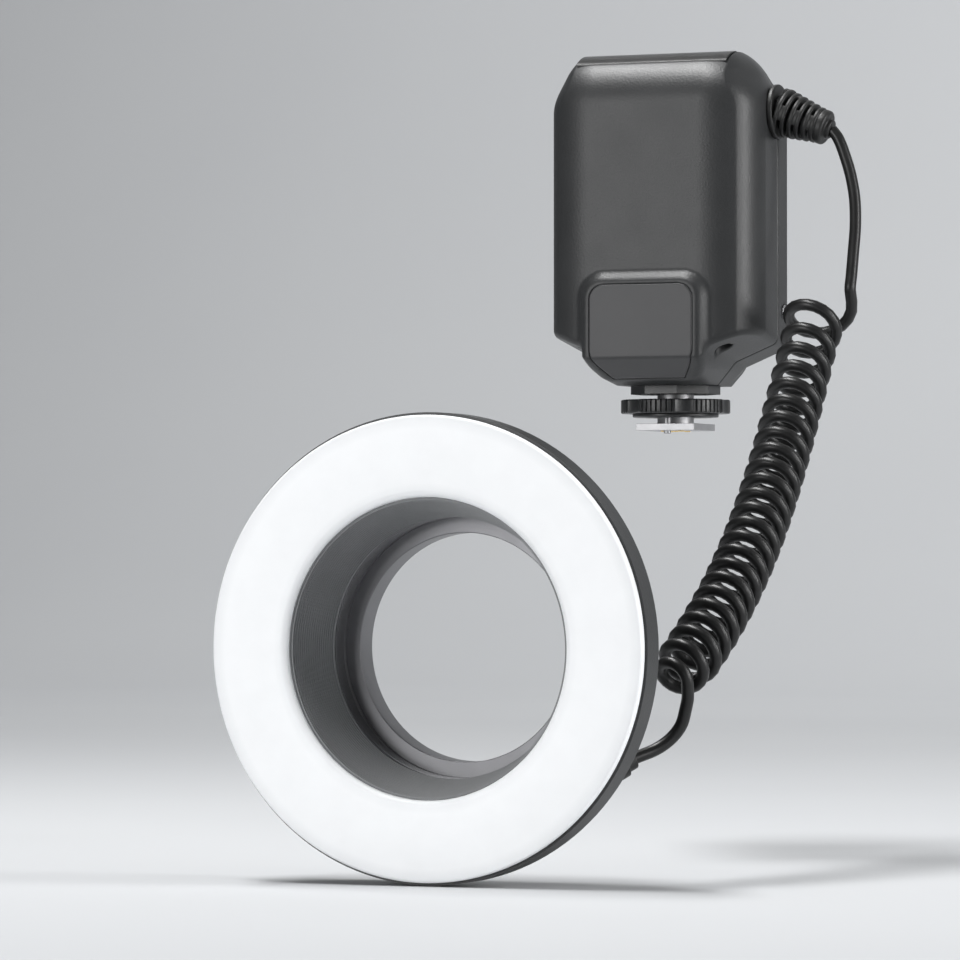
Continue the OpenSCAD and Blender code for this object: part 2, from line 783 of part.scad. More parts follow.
module main_capacitors() {
    r = (unit_front - shell_wall - cell_front - tray_half) / 2 - 0.3;
    y = cell_y - tray_half - 0.3 - r;
    l = unit_w - 2 * corner_r + 3;
    color([0.12, 0.12, 0.3]) for (k = [0, 1])
        translate([-l / 2, y, bay_mid - 2 * r + k * (2 * r + 1)]) rotate([0, 90, 0]) cylinder(h = l, r = r);
}

// The shoe foot and its lock

module shoe_collar() {
    across = collar_w / 2 / cos(22.5);
    color(trim_black) difference() {
        translate([0, 0, collar_z]) rotate(22.5) cylinder(h = collar_t, r = across, $fn = 8);
        shoe_screw_holes();
        four_corners(screw_xy) translate([0, 0, collar_z - 1])
            cylinder(h = screw_head_t + 1, r = screw_head_r + 0.05);
    }
}

module hot_shoe_foot() {
    color(steel) difference() {
        union() {
            translate([-foot_w / 2, -foot_l / 2, 0]) cube([foot_w, foot_l, foot_t]);
            cylinder(h = collar_z, r = stem_r);
        }
        translate([0, lock_pin_y, -1]) cylinder(h = foot_t + 2, r = lock_pin_r + slip);
        contact_places() translate([0, 0, -1]) cylinder(h = 4, r = contact_r + slip);
    }
}

module contact_places() {
    children();
    for (x = [-1, 1], y = [-1, 1]) translate([x * 2.8, y * 2.6, 0]) children();
}

module contact_pins() {
    room = 0.45;
    color([0.85, 0.7, 0.35]) contact_places() translate([0, 0, -contact_out])
        cylinder(h = 3 + contact_out - room, r = contact_r);
}

module clamp_plate() {
    color(trim_black) translate([0, 0, clamp_z]) difference() {
        cylinder(h = clamp_t, d = clamp_d);
        translate([0, 0, -1]) cylinder(h = clamp_t + 2, r = stem_r + 0.1);
    }
}

module lock_pin() {
    color(steel) translate([0, lock_pin_y, -lock_pin_out])
        cylinder(h = clamp_z + lock_pin_out, r = lock_pin_r);
}

// Six finger hollows with a group of ribs between each pair.
module lock_wheel() {
    hollows = 6;
    ribs = 7;
    hollow_r = 6;
    color(trim_black) translate([0, 0, wheel_z + 0.02]) linear_extrude(wheel_t - 0.02) difference() {
        circle(d = wheel_d);
        circle(stem_r + 0.1);
        for (k = [0 : hollows - 1]) rotate(k * 360 / hollows) {
            translate([wheel_d / 2 + hollow_r - 0.9, 0]) circle(hollow_r);
            for (j = [0 : ribs - 1])
                rotate(30 + (j - (ribs - 1) / 2) * 5.6) translate([wheel_d / 2, 0]) circle(0.45, $fn = 16);
        }
    }
}

module shoe_screws() {
    color(steel) four_corners(screw_xy) translate([0, 0, collar_z]) {
        cylinder(h = screw_head_t, r = screw_head_r);
        cylinder(h = shoe_screw_top - collar_z, r = screw_r);
    }
}

module shell_screws() {
    color(steel) for (s = [-1, 1]) translate([s * shell_screw.x, shell_screw.y, shell_screw_z]) {
        translate([0, 0, -1.4]) cylinder(h = 1.4, r = shell_screw_head_r);
        cylinder(h = shell_screw_top - shell_screw_z - 0.2, r = shell_screw_r);
    }
}

// A flange against the unit's side, then a drooping cone of ribs with a round nose.
module cord_boot() {
    l = boot_l - boot_flange_t;
    base_r = boot_d / 2 - 0.6;
    nose_r = boot_nose_d / 2;
    step = (l - 4) / boot_ribs;
    color(trim_black) difference() {
        union() {
            translate([half_w - shell_wall - 1, boot_y, boot_z]) rotate([0, 90, 0])
                cylinder(h = shell_wall + 1.5, r = boot_neck_r);
            translate([half_w, boot_y, boot_z]) rotate([0, 90, 0]) cylinder(h = boot_flange_t, d = boot_d);
            translate(boot_base) rotate([0, 90 + boot_droop, 0]) {
                translate([0, 0, -1]) cylinder(h = l + 1, r1 = base_r - 2, r2 = nose_r - 1);
                for (k = [0 : boot_ribs - 1])
                    translate([0, 0, (k + 0.4) * step])
                        cylinder(h = step * 0.55, r = base_r + (nose_r - base_r) * (k + 0.5) / boot_ribs);
                translate([0, 0, l - 4]) cylinder(h = 2.5, r = nose_r);
            }
        }
        translate([half_w - far, -far / 2, -far / 2]) difference() {
            cube([far, far, far]);
            translate([-1, far / 2 + boot_y, far / 2 + boot_z]) rotate([0, 90, 0])
                cylinder(h = far + 2, r = boot_neck_r);
        }
    }
}

// The ring head

module diffuser() {
    lip_r = 0.8;
    skirt = ring_wall - 0.2;
    skirt_r = ring_r - ring_wall - fit;
    color([0.96, 0.96, 0.96]) in_ring() rotate_extrude() difference() {
        union() {
            translate([mouth_r + mouth_lip, 0]) square([rim_r - lip_r - mouth_r - mouth_lip, rim_depth]);
            translate([mouth_r + mouth_lip, lip_r]) square([rim_r - mouth_r - mouth_lip, rim_depth - lip_r]);
            translate([rim_r - lip_r, lip_r]) circle(lip_r);
            translate([mouth_r, mouth_lip]) square([skirt_r - mouth_r, skirt_depth - mouth_lip]);
            translate([mouth_r + mouth_lip, mouth_lip]) circle(mouth_lip);
        }
        translate([mouth_r + skirt, ring_wall]) square([skirt_r - mouth_r - 2 * skirt, far]);
    }
}

module ring_housing() {
    w0 = rim_depth + 0.15;
    rear_in = ring_depth - ring_wall;
    color(body_black) difference() {
        in_ring() difference() {
            rotate_extrude() {
                polygon([[ring_r, w0], [ring_r, wall_depth], [rear_r, ring_depth], [seat_r, ring_depth],
                    [seat_r, seat_w], [seat_r + ring_wall, seat_w], [seat_r + ring_wall, rear_in],
                    [rear_r - ring_wall / 2, rear_in],
                    [ring_r - ring_wall, wall_depth - ring_wall / 2], [ring_r - ring_wall, w0]]);
            }
            latch_slots();
            ring_screw_places() cylinder(h = far, r = screw_r + 0.05);
        }
        translate(gland_tip - gland_dir * gland_l) towards(gland_dir) cylinder(h = far, r = gland_r + 0.05);
    }
}

module latch_slots() {
    for (a = [0, 180]) rotate(a) {
        translate([-latch_w / 2 - fit, 0, latch_w0 - fit])
            cube([latch_w + 2 * fit, latch_outer + latch_travel + fit, latch_t + 2 * fit]);
        translate([-latch_pad.x / 2 - fit, latch_pad_r - fit, latch_w0])
            cube([latch_pad.x + 2 * fit, latch_pad.y + latch_travel + 2 * fit, far]);
    }
}

// A plate that slides away from the ring's axis: a jaw in the adapter's groove and a thumb pad behind.
module latch(turn) {
    top = ring_depth + 1.2;
    color(trim_black) in_ring() rotate(turn) {
        difference() {
            translate([-latch_w / 2, 0, latch_w0]) cube([latch_w, latch_outer, latch_t]);
            translate([0, 0, latch_w0 - 1]) cylinder(h = latch_t + 2, r = latch_jaw_r);
        }
        difference() {
            translate([-latch_pad.x / 2, latch_pad_r, latch_w0 + latch_t])
                cube([latch_pad.x, latch_pad.y, top - latch_w0 - latch_t]);
            for (k = [0 : 3])
                translate([-latch_pad.x, latch_pad_r + 1 + 1.2 * k, top - 0.5])
                    cube([2 * latch_pad.x, 0.5, 2]);
        }
    }
}

module latch_upper() { latch(180); }
module latch_lower() { latch(0); }

// A stepped funnel: each step is a short cylinder and a ledge.
module baffle_sleeve() {
    w0 = mouth_lip;
    step_w = (baffle_end - w0 - 1.5) / baffle_steps;
    step_r = (mouth_r - 0.3 - throat_r) / baffle_steps;
    bore = [for (k = [0 : baffle_steps - 1], e = [0, 1])
        [mouth_r - 0.3 - step_r * k - (e > 0 ? 0.35 : 0), w0 + step_w * (k + e * 0.7)]];
    color(trim_black) in_ring() rotate_extrude() polygon(concat(bore,
        [[throat_r, baffle_end - 1.5], [throat_r, baffle_end], [seat_r + ring_wall, baffle_end],
         [seat_r + ring_wall, baffle_end - 1.4], [throat_r + 1.6, baffle_end - 1.4],
         [mouth_r + 1.6, skirt_depth + 0.3], [mouth_r - 0.1, skirt_depth + 0.3], [mouth_r - 0.1, w0]]));
}

module reflector_ring() {
    r0 = trough_in;
    r1 = trough_out;
    w1 = trough_w;
    color([0.93, 0.93, 0.93]) in_ring() {
        rotate_extrude()
            polygon([[r0, skirt_depth + 0.6], [r0 + 1, skirt_depth + 0.6], [r0 + 3.5, w1 - trough_t],
                [r1 - 3, w1 - trough_t],
                [r1 - 1, skirt_depth + 1], [r1, skirt_depth + 1], [r1, w1], [r0 + 1.6, w1]]);
        ring_screw_places() difference() {
            translate([0, 0, w1 - 0.2]) cylinder(h = ring_depth - ring_wall - 0.2 - w1 + 0.2, r = 2);
            translate([0, 0, w1 + 3.4]) cylinder(h = far, r = screw_r + 0.05);
        }
    }
}

module ring_screw_places() {
    for (a = ring_screw_turns) rotate(a) translate([ring_screw_r, 0, 0]) children();
}

module flash_tubes() {
    span = 150;
    w = trough_w - trough_t - tube_d / 2 - 0.1;
    color([0.85, 0.9, 0.95]) in_ring() for (s = [0, 180]) rotate(s - span / 2)
        rotate_extrude(angle = span) translate([tube_r, w]) circle(d = tube_d);
}

module led_board() {
    color([0.1, 0.3, 0.15]) in_ring() translate([0, 0, trough_w + 0.1]) difference() {
        cylinder(h = 1.2, r = trough_out - 2.2);
        translate([0, 0, -1]) cylinder(h = 4, r = trough_in + 2.3);
        translate([0, 0, -1]) ring_screw_places() cylinder(h = 4, r = 2.2);
    }
}

module modelling_leds() {
    w = trough_w - trough_t;
    color([0.95, 0.9, 0.6]) in_ring() for (k = [0 : lamp_count - 1]) rotate((k + 0.5) * 360 / lamp_count)
        translate([tube_r - tube_d / 2 - 1.1 - lamp_w, -1.4, w - 0.8]) cube([lamp_w, 2.8, 0.8]);
}

// The adapter: a grooved flange in the ring's seat, a cup behind it and a male thread for the lens.
module adapter_ring() {
    f = flange_r;
    t = thread_d / 2;
    a = t - sleeve_wall;
    g0 = latch_w0 - 0.3;
    g1 = latch_w0 + latch_t + 0.3;
    s0 = seat_w + 0.1;
    cup = throat_r + sleeve_wall;
    face = ring_depth + cup_depth;
    end = face + sleeve_wall;
    color(trim_black) in_ring() rotate_extrude()
        polygon([[throat_r, s0], [f, s0], [f, g0], [f - 1.4, g0], [f - 1.4, g1], [f, g1], [f, ring_depth],
            [cup, ring_depth], [cup, end], [t, end], [t, end + thread_l], [a, end + thread_l], [a, face],
            [throat_r, face]]);
}

module ring_gland() {
    color(trim_black) translate(gland_tip - gland_dir * gland_l) towards(gland_dir) {
        cylinder(h = gland_l, r = gland_r - 0.8);
        cylinder(h = gland_l - 3, r = gland_r);
    }
}

module ring_screws() {
    color(steel) in_ring() ring_screw_places() {
        translate([0, 0, ring_depth]) cylinder(h = 1, r = screw_head_r);
        translate([0, 0, trough_w + 3.7]) cylinder(h = ring_depth - trough_w - 3.7, r = screw_r);
    }
}

// The cord

function unit(v) = v / norm(v);
function bezier(p, t) = pow(1 - t, 3) * p[0] + 3 * pow(1 - t, 2) * t * p[1]
    + 3 * (1 - t) * t * t * p[2] + pow(t, 3) * p[3];
function bezier_dir(p, t) =
    unit(pow(1 - t, 2) * (p[1] - p[0]) + 2 * (1 - t) * t * (p[2] - p[1]) + t * t * (p[3] - p[2]));

// How far along the curls' axis a turn stands, from 0 to 1.
function curl_share(turn) = (turn + first_open * (1 - exp(-turn))) / (curls + first_open * (1 - exp(-curls)));

// A point of the curls, by turns from the upper end. They wind left-handed.
function curl_point(turn) = let (
    t = curl_share(turn),
    along = bezier_dir(curl_axis, t),
    side = unit(cross([0, 1, -1], along)),
    right = side.x < 0 ? -side : side,
    ahead = cross(along, right),
    front = ahead.z < 0 ? -ahead : ahead,
    r = lookup(turn, curl_flare))
    bezier(curl_axis, t) + r * (cos(-360 * turn) * right + sin(-360 * turn) * front);

function curl_end_dir(turn, s) =
    unit(curl_point(turn + 0.01 * (1 - s) / 2) - curl_point(turn - 0.01 * (1 + s) / 2));

curl_rings = 8;
curl_start_dir = curl_end_dir(0, -1);
curl_last_dir = curl_end_dir(curls, 1);
curl_start = curl_point(0) - cord_d * curl_start_dir;
curl_last = curl_point(curls) + cord_d * curl_last_dir;
curl_points = concat([curl_start], [for (k = [0 : curls * curl_rings]) curl_point(k / curl_rings)],
    [curl_last]);

// A smooth curve through the points, with n steps between each pair.
function spline(p, n) = let (last = len(p) - 1)
    [for (k = [0 : last - 1], j = [0 : n - 1]) let (
        t = j / n,
        a = k > 0 ? p[k - 1] : 2 * p[0] - p[1],
        d = k < last - 1 ? p[k + 2] : 2 * p[last] - p[last - 1],
        m0 = (p[k + 1] - a) / 2,
        m1 = (d - p[k]) / 2)
        (2 * t * t * t - 3 * t * t + 1) * p[k] + (t * t * t - 2 * t * t + t) * m0
        + (3 * t * t - 2 * t * t * t) * p[k + 1] + (t * t * t - t * t) * m1];

// One closed tube along the points, with its end faces square to the given directions.
module tube(p, r, sides, first_dir, last_dir) {
    n = len(p);
    function dir(k) = k == 0 ? unit(first_dir) : k == n - 1 ? unit(last_dir) : unit(p[k + 1] - p[k - 1]);
    ups = [for (k = 0, u = unit(cross(dir(0), [0.3, 0.5, 0.8])); k < n; k = k + 1,
        u = k < n ? unit(cross(cross(dir(k), u), dir(k))) : u) u];
    rings = [for (k = [0 : n - 1], j = [0 : sides - 1]) let (a = 360 * j / sides)
        p[k] + r * (cos(a) * ups[k] + sin(a) * cross(dir(k), ups[k]))];
    walls = [for (k = [0 : n - 2], j = [0 : sides - 1]) let (
        a = k * sides + j,
        b = k * sides + (j + 1) % sides)
        each [[a, a + sides, b], [b, a + sides, b + sides]]];
    end = (n - 1) * sides;
    caps = [for (j = [1 : sides - 2]) each [[0, j, j + 1], [end, end + j + 1, end + j]]];
    polyhedron(rings, concat(walls, caps));
}

upper_points = concat(spline(concat([boot_tip], upper_route, [curl_start]), 3), [curl_start]);
lower_points = concat(spline(concat([curl_last], lower_route, [gland_tip]), 4), [gland_tip]);

module cord_lead_upper() { color(trim_black) tube(upper_points, cord_d / 2, 8, boot_dir, curl_start_dir); }
module cord_coil() { color(trim_black) tube(curl_points, cord_d / 2, 6, curl_start_dir, curl_last_dir); }
module cord_lead_lower() { color(trim_black) tube(lower_points, cord_d / 2, 8, curl_last_dir, -gland_dir); }

function path_length(p, k = 1) = k >= len(p) ? 0 : norm(p[k] - p[k - 1]) + path_length(p, k + 1);
function least_gap(a, b) = min([for (p = a, q = b) norm(p - q)]) - cord_d;
function slice(p, first, last) = [for (k = [first : last]) p[k]];
curl_gap = min([for (k = [0 : len(curl_points) - 2], j = [k + 5 : 1 : min(k + 20, len(curl_points) - 1)])
    norm(curl_points[k] - curl_points[j])]) - cord_d;
echo(least_gap_between_curls = curl_gap);
echo(least_gap_to_upper_lead = least_gap(slice(upper_points, 0, len(upper_points) - 4),
    slice(curl_points, 2, len(curl_points) - 1)));
echo(least_gap_to_lower_lead = least_gap(slice(lower_points, 3, len(lower_points) - 1),
    slice(curl_points, 0, len(curl_points) - 3)));
echo(cord_length = path_length(upper_points) + path_length(curl_points) + path_length(lower_points));

front_shell();
rear_cover();
rating_plate();
af_window();
af_lamp();
lcd_window();
lcd_panel();
main_board();
main_capacitors();
battery_tray();
battery_cells();
battery_contacts();
battery_door();
door_contacts();
door_pin();
battery_latch();
mode_key();
ratio_key();
group_key();
lamp_key();
control_dial();
set_button();
power_switch();
test_button();
shoe_collar();
hot_shoe_foot();
contact_pins();
clamp_plate();
lock_pin();
lock_wheel();
shoe_screws();
shell_screws();
cord_boot();
sync_jack();
diffuser();
ring_housing();
baffle_sleeve();
reflector_ring();
flash_tubes();
led_board();
modelling_leds();
latch_upper();
latch_lower();
adapter_ring();
ring_gland();
ring_screws();
cord_lead_upper();
cord_coil();
cord_lead_lower();
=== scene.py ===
"""Macro ring flash: a control unit on a shoe foot, a ring head and a curly cord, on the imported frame."""
import json
import math

import bmesh
import bpy
import numpy as np
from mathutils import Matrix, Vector

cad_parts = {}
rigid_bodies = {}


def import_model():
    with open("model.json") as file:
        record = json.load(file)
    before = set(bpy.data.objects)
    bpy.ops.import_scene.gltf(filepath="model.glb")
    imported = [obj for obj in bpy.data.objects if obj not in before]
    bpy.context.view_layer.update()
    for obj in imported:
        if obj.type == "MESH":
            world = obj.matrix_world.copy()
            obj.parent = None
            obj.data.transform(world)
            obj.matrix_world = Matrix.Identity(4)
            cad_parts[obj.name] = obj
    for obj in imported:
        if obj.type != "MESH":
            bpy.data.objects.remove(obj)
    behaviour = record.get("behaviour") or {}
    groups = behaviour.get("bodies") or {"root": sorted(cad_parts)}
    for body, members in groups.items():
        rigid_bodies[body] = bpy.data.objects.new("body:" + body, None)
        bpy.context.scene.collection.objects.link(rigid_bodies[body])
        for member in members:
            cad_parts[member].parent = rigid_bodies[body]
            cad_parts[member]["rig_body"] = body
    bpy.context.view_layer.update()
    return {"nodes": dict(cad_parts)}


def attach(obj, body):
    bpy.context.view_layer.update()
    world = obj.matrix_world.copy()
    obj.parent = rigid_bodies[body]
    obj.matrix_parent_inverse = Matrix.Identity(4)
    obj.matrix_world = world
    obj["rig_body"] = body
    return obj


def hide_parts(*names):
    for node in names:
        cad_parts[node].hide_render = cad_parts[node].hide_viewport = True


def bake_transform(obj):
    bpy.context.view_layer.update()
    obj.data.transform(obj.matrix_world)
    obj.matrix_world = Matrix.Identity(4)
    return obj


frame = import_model()
scene = bpy.context.scene
scene.view_settings.view_transform = "Standard"

MM = 0.001

# Control unit, in millimetres
HALF_W = 33.5
FRONT_Y = -27.0
REAR_Y = 8.0
SEAM_Y = -2.0
SEAM_GAP = 0.12
UNIT_TOP = 113.0
WALL = 2.0
FRONT_FLAT = 17.0
FRONT_BOW_R = 24.0
TOP_FILLET_R = 16.0
TOP_FALL_R = 30.0
CORNER_BAND = 5.0
SHOULDER_BAND = 9.0
CORNER_CREASE = 0.24  # tangent of the angle at the band's edges
SHOULDER_CREASE = 0.42
SHOULDER_Z = 95.0
SHOULDER_H = 11.0
UNDER_Z = 24.6
UNDER_RISE = 0.42  # slope of the underside, up to each side
UNDER_FALL = 0.17  # and down to the rear
UNDER_SLOPE = 1.098  # length of the normal of both slopes
CAVITY_FLOOR = 26.0
NECK_Z = 13.4
STRIP_HALF_X = 24.15
STRIP_HALF_Y = 4.7
STRIP_MID_Y = -16.05
STRIP_DEEP = 0.45
SHELL_SCREW = (22.0, -18.0)

# Pod and focus window
POD_HALF = 19.4
POD_Y = -29.5
POD_TOP = 45.8
POD_TAPER = (0.764, 0.645)  # direction square to the pod's lower sides
NOSE_WAY = (0.262, 0.965)  # direction square to the underside of its nose
NECK_LEAN = 0.172  # slope of the neck's rear
WINDOW_HALF = 16.4
WINDOW_TOP = 43.0
WINDOW_T = 1.8
CREASE_Z = 21.0
FACET_LOW_Z = 15.2
FACET_TILT = math.radians(50)
FACET_TAPER = 5.0
LAMP_Z = 32.0

# Rear panel
PANEL_Y = 14.0
PANEL_WALL = 1.8
PANEL_FACE = PANEL_Y - PANEL_WALL
PANEL_MID_Z = 64.0
PANEL_HALF_W = 28.0
PANEL_HALF_H = 31.0
PANEL_CORNER = 5.0
DISPLAY_Z = 79.5
DISPLAY_HALF = (19.0, 12.0)
COVER_HALF = (20.1, 13.1)
KEY_Z = 61.0
KEY_X = (-19.5, -6.5, 6.5, 19.5)
KEY_HALF = (5.2, 2.5)
DIAL_AT = (9.0, 46.0)
DIAL_HOLE_R = 6.8
DIAL_BORE_R = 4.8
DIAL_NECK_R = 6.6
DIAL_LIP_R = 8.0
DIAL_R = 10.5
DIAL_BACK = 10.4
DIAL_LIP = 12.0
DIAL_UNDER = 14.2
DIAL_DISH = 16.5
DIAL_FACE = 16.8
DIAL_TEETH = 40
TOOTH_DEEP = 0.4
SWITCH_AT = (-15.0, 48.5)
SWITCH_HALF = (4.5, 2.2)
SWITCH_TRAVEL = 4.0
TEST_AT = (-18.0, 39.5)
TEST_HOLE_R = 3.2
JACK_AT = (3.6, 35.5)
JACK_HOLE_R = 2.05

# Battery door and cells
HINGE = (-31.7, 3.0)
KNUCKLE_ROOM_R = 1.9
DOOR_MID_Z = 64.5
DOOR_HALF_Z = 31.5
CELL_FLAT_X = -28.5

# Lock wheel under the unit
WHEEL_R = 16.5
WHEEL_LOW = 5.12
WHEEL_HIGH = 9.3
HOLLOW_R = 6.0
HOLLOW_OFF = 21.6
RIB_PITCH = 5.6
RIB_SPAN = 19.6
RIB_DEEP = 0.5

# Ring head
RING_Y = -190.0
RING_Z = -63.0
RING_DEPTH = 26.0
RIM_R = 63.25
RIM_W = 2.2
FACE_T = 2.0
SKIRT_R = 61.8
SKIRT_T = 1.8
SKIRT_W = 6.5
MOUTH_R = 41.0
MOUTH_LIP = 2.0
THROAT_R = 36.0
BAFFLE_STEPS = 20
BAFFLE_END = 21.2
BAFFLE_LIP_W = 1.5
BAFFLE_FLANGE_R = 41.9
BAFFLE_FLANGE_W = 19.8
GROOVE_DEEP = 0.5
SEAT_W = 21.6
SEAT_GROOVE_R = 38.2
CUP_FACE = 28.4
SEAT_R = 39.6
CUP_R = 38.0
THREAD_R = 33.5
THREAD_ROOT_R = 33.1
THREAD_BORE_R = 31.5
THREAD_PITCH = 0.8
THREAD_TURNS = 7
REAR_SCREW_R = 50.0

# Cord
CORD_D = 3.5
CURLS = 24
FIRST_OPEN = 0.5
BOOT_FLANGE_X = 35.1
BOOT_FLANGE_R = 8.2
BOOT_BASE = Vector((BOOT_FLANGE_X, -4.0, 95.0))
BOOT_DROOP = math.radians(20)
BOOT_DIR = Vector((math.cos(BOOT_DROOP), 0.0, -math.sin(BOOT_DROOP)))
BOOT_L = 17.4
BOOT_TIP = BOOT_BASE + BOOT_L * BOOT_DIR
BOOT_HOLE_R = 4.05
BOOT_NECK_R = 4.0
BOOT_CORE_R = 5.0
BOOT_CORE_TAPER = 0.075
BOOT_RIBS = 6
BOOT_RIB_SPAN = 13.4
BOOT_RIB_R = 7.6
BOOT_RIB_LOSS = 2.35  # what the ribs' radius loses over their span
BOOT_RIB_HALF = 0.62
BOOT_WEB_HALF = 2.3
BOOT_NOSE_R = 5.25
BOOT_COLLAR_R = 2.9
GLAND_ANGLE = math.radians(-32)
GLAND_R = 56.6
GLAND_TIP = Vector((GLAND_R * math.cos(GLAND_ANGLE), -157.5, RING_Z + GLAND_R * math.sin(GLAND_ANGLE)))
CURL_AXIS = [Vector(p) for p in ((50, -12, 37), (54, -59, -13), (65, -106, -43), (57.5, -152, -72))]
CURL_FLARE = ((0, 10.2), (0.5, 8.0), (1, 7.3), (1.75, 6.9), (22.5, 6.9), (24, 4.4))
UPPER_ROUTE = ((53.6, -4.2, 86.2), (55.8, -4.6, 81), (57.8, -5.2, 75), (59.4, -6.4, 68), (60.2, -8.2, 60),
               (60.4, -10.6, 52), (60.6, -12.8, 45.5))
LOWER_ROUTE = ((60.4, -150.2, -80), (59, -149.8, -84), (56.4, -150.6, -87.6), (52.8, -153, -90.6))

# Camera, floor and backdrop
CAMERA_AT = (594.9, -1551.2, -39.0)
CAMERA_TILT = math.radians(90.833)
CAMERA_PAN = math.radians(23.02)
CAMERA_LENS = 206.25
FLOOR_Z = -127.2
FLOOR_FRONT = -4500
FLOOR_BACK = 1900
FLOOR_HALF_W = 5000
SWEEP_R = 900
BACKDROP_TOP = 3500


# Camera

def place_camera():
    lens = bpy.data.cameras.new("photo_camera")
    lens.lens = CAMERA_LENS
    lens.sensor_width = 36.0
    lens.clip_end = 60.0
    camera = bpy.data.objects.new("photo_camera", lens)
    camera.location = Vector(CAMERA_AT) * MM
    camera.rotation_euler = (CAMERA_TILT, 0.0, CAMERA_PAN)
    scene.collection.objects.link(camera)
    scene.camera = camera


place_camera()


# Finishes

class Wire:
    """A shader socket in an expression: each operator adds one Math node."""

    def __init__(self, finish, socket):
        self.finish = finish
        self.socket = socket

    def math(self, operation, first, second):
        return self.finish.node("ShaderNodeMath", {"operation": operation}, {0: first, 1: second})

    def __add__(self, other):
        return self.math("ADD", self, other)

    def __radd__(self, other):
        return self.math("ADD", other, self)

    def __sub__(self, other):
        return self.math("SUBTRACT", self, other)

    def __rsub__(self, other):
        return self.math("SUBTRACT", other, self)

    def __mul__(self, other):
        return self.math("MULTIPLY", self, other)

    def __rmul__(self, other):
        return self.math("MULTIPLY", other, self)

    def __gt__(self, other):
        return self.math("GREATER_THAN", self, other)

    def __lt__(self, other):
        return self.math("LESS_THAN", self, other)


class Finish:
    """One node material. Its steady values sit on the shader's own sockets."""

    def __init__(self, name, **steady):
        self.material = bpy.data.materials.new(name)
        self.material.use_nodes = True
        self.tree = self.material.node_tree
        self.surface = self.tree.nodes["Principled BSDF"]
        for words, value in steady.items():
            self.surface.inputs[words.replace("_", " ")].default_value = value

    def join(self, value, entry):
        if isinstance(value, Wire):
            self.tree.links.new(value.socket, entry)
        else:
            entry.default_value = value

    def node(self, kind, settings=None, sockets=None, output=0):
        made = self.tree.nodes.new(kind)
        for key, value in (settings or {}).items():
            if key == "stops":
                ramp = made.color_ramp
                for k, (place, colour) in enumerate(value):
                    stop = ramp.elements[k] if k < 2 else ramp.elements.new(place)
                    stop.position = place
                    stop.color = colour
            else:
                setattr(made, key, value)
        for key, value in (sockets or {}).items():
            self.join(value, made.inputs[key])
        return Wire(self, made.outputs[output])

    def feed(self, socket, value):
        self.join(value, self.surface.inputs[socket])

    def place(self):
        return self.node("ShaderNodeTexCoord", output="Object")

    def along(self, axis):
        return self.node("ShaderNodeSeparateXYZ", None, {"Vector": self.place()}, axis)

    def speckle(self, size, detail=2.0, rough=0.5):
        """Noise with spots about that many millimetres across."""
        sockets = {"Vector": self.place(), "Scale": 1 / (size * MM), "Detail": detail, "Roughness": rough}
        return self.node("ShaderNodeTexNoise", None, sockets, "Fac")

    def pits(self, size):
        """The distance to the nearest of many small cells, for a moulded leather-like grain."""
        return self.node("ShaderNodeTexVoronoi", {"feature": "F1"},
                         {"Vector": self.place(), "Scale": 1 / (size * MM)}, "Distance")

    def blend(self, share, first, second):
        return self.node("ShaderNodeMix", {"data_type": "RGBA"}, {0: share, 6: first, 7: second}, 2)

    def relief(self, height, strength, depth):
        sockets = {"Height": height, "Strength": strength, "Distance": depth * MM}
        self.feed("Normal", self.node("ShaderNodeBump", None, sockets))


def tinted(level, tint=(1.0, 1.0, 1.0)):
    return tuple(level * part for part in tint) + (1.0,)


def moulded(name, tone, gloss, grain, depth, tint=(1.0, 1.0, 1.0)):
    """Moulded plastic with a fine spark-eroded grain, a little cloudy in tone and gloss."""
    finish = Finish(name, Specular_IOR_Level=0.5)
    cloud = finish.speckle(14, 3.0)
    fine = finish.speckle(grain, 2.0, 0.6)
    finish.feed("Base Color", finish.blend(cloud * 0.55 + fine * 0.45, tinted(tone * 0.82, tint),
                                           tinted(tone * 1.2, tint)))
    finish.feed("Roughness", cloud * 0.08 + fine * 0.1 + (gloss - 0.09))
    finish.relief(fine * 0.7 + finish.pits(grain * 1.3) * 0.6, 0.55, depth)
    return finish.material


def plain_metal(name, colour, gloss):
    """Metal with a fine random brushing and a faint stain."""
    finish = Finish(name, Metallic=1.0)
    cloud = finish.speckle(5, 3.0)
    fine = finish.speckle(0.4, 2.0, 0.7)
    finish.feed("Base Color", finish.blend(cloud, tinted(0.78, colour), tinted(1.0, colour)))
    finish.feed("Roughness", cloud * 0.12 + fine * 0.08 + (gloss - 0.1))
    finish.relief(fine, 0.2, 0.02)
    return finish.material


def rubber(name, tone, gloss):
    finish = Finish(name, Specular_IOR_Level=0.35)
    cloud = finish.speckle(6, 3.0)
    fine = finish.speckle(0.35, 2.0)
    finish.feed("Base Color", finish.blend(cloud, tinted(tone * 0.8), tinted(tone * 1.2)))
    finish.feed("Roughness", cloud * 0.1 + fine * 0.1 + (gloss - 0.1))
    finish.relief(fine, 0.3, 0.03)
    return finish.material


